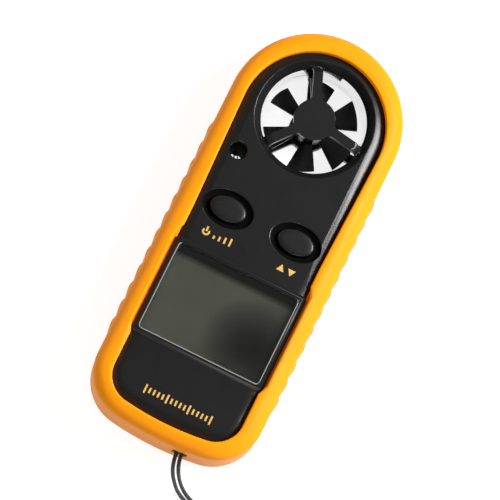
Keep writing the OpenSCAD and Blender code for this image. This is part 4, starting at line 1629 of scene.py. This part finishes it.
@dataclass
class Studio:
    """The floor, the lights and the camera."""

    target: Point = (-0.05, -3.54, 16.6)
    distance: float = 900.0
    tilt: float = 12.0
    roll: float = 26.32
    field_width: float = 121.29
    sensor: float = 36.0
    sight: float = 20000.0
    floor_size: float = 3000.0
    ceiling: float = 0.18
    walls: float = 0.6
    wall_tops: Pair = (0.3, 0.85)
    horizon: float = 0.05
    floor_glow: float = 0.84
    floor_paint: float = 0.42
    lamps: dict[str, tuple[Point, float, float]] = field(
        default_factory=lambda: {
            "key": ((400, 240, 500), 240, 7.0),
            "left_rim": ((-480, 60, 110), 160, 0.4),
            "foot_rim": ((120, -520, 190), 160, 0.5),
            "right_rim": ((560, 60, 70), 160, 0.5),
        }
    )

    def build(self) -> None:
        """Sets up the whole studio."""
        self.set_camera()
        self.set_world()
        self.lay_floor()
        for name, (place, size, power) in self.lamps.items():
            self.lamp(name, place, size, power)
        bpy.context.scene.view_settings.view_transform = "Standard"

    def set_camera(self) -> None:
        """Puts the camera over the foot of the meter, turned so that its fan leans right."""
        tilt, roll = math.radians(self.tilt), math.radians(self.roll)
        back = Vector((0, -math.sin(tilt), math.cos(tilt)))
        along = Vector((0, math.cos(tilt), math.sin(tilt)))
        across = Vector((1, 0, 0))
        right = math.cos(roll) * across + math.sin(roll) * along
        up = math.cos(roll) * along - math.sin(roll) * across
        data = bpy.data.cameras.new("camera")
        data.sensor_width = self.sensor
        data.lens = self.sensor * self.distance / self.field_width
        data.clip_end = self.sight * MM
        camera = bpy.data.objects.new("camera", data)
        turn = Matrix((right, up, back)).transposed().to_4x4()
        place = (Vector(self.target) + back * self.distance) * MM
        camera.matrix_world = Matrix.Translation(place) @ turn
        bpy.context.scene.collection.objects.link(camera)
        bpy.context.scene.camera = camera

    def _rays(self, sheet: Sheet, *kinds: str) -> Signal:
        """Tells camera rays and the named kinds of rays from others.

        Args:
            sheet: The sheet that it is used in.
            kinds: The outputs of the light path that count as well.

        Returns:
            One for those rays, else zero.
        """
        path = sheet.node("ShaderNodeLightPath", out="Is Camera Ray")
        outputs = path.socket.node.outputs
        ray = path
        for kind in kinds:
            ray = ray.most(Signal(sheet, outputs[kind]))
        return ray

    def set_world(self) -> None:
        """A surround with bright walls and a dimmer ceiling, white behind the meter.

        Rays that come through the lens also find it white below the horizon.
        """
        sheet = Sheet("surround", world=True)
        bpy.context.scene.world = sheet.owner
        up = sheet.axis(sheet.node("ShaderNodeTexCoord", out="Generated"), "Z")
        foot, head = self.wall_tops
        ends = {0: up, 1: foot, 2: head, 3: self.walls, 4: self.ceiling}
        room = sheet.node("ShaderNodeMapRange", {"interpolation_type": "SMOOTHSTEP"}, ends)
        below = (up * (-1 / self.horizon)).most(0).least(1)
        through = self._rays(sheet, "Is Transmission Ray") * below
        level = room.most(self._rays(sheet)).most(through)
        sockets = {"Color": (1, 1, 1, 1), "Strength": level}
        sheet.node_out(sheet.node("ShaderNodeBackground", None, sockets))

    def lay_floor(self) -> None:
        """A plain white table that keeps the meter's shadow and is clear from below."""
        drop_selection()
        bpy.ops.mesh.primitive_plane_add(size=self.floor_size * MM)
        floor = name_piece("table")
        sheet = Sheet("table_white")
        paint = sheet.node("ShaderNodeBsdfDiffuse", None, {"Color": (*[self.floor_paint] * 3, 1)})
        seen = self._rays(sheet, "Is Glossy Ray", "Is Transmission Ray") * self.floor_glow
        glow = sheet.node("ShaderNodeEmission", None, {"Color": (1, 1, 1, 1), "Strength": seen})
        table = sheet.node("ShaderNodeAddShader", None, {0: paint, 1: glow})
        below = sheet.node("ShaderNodeNewGeometry", out="Backfacing")
        clear = sheet.node("ShaderNodeBsdfTransparent")
        sheet.node_out(sheet.node("ShaderNodeMixShader", None, {0: below, 1: table, 2: clear}))
        dress(floor, sheet.owner)

    def lamp(self, name: str, place: Point, size: float, power: float) -> None:
        """Adds a soft box that faces the meter.

        Args:
            name: The lamp's name.
            place: Where it stands.
            size: The length of its sides.
            power: Its power in watts.
        """
        data = bpy.data.lights.new(name, "AREA")
        data.energy = power
        data.size = size * MM
        lamp = bpy.data.objects.new(name, data)
        lamp.location = Vector(place) * MM
        away = Vector(place) - Vector(self.target)
        lamp.rotation_euler = away.to_track_quat("Z", "Y").to_euler()
        bpy.context.scene.collection.objects.link(lamp)


def main() -> None:
    """Builds the meter's looks and its studio."""
    logging.basicConfig(level=logging.INFO, format="%(message)s")
    order = (Studio, Lanyard, Sleeve, Housings, Keys, Domes, DisplayLens, Prints, CarriedOver)
    for assembly in order:
        LOG.info("building %s", assembly.__name__)
        assembly().build()
    bpy.context.view_layer.update()


if __name__ == "__main__":
    main()
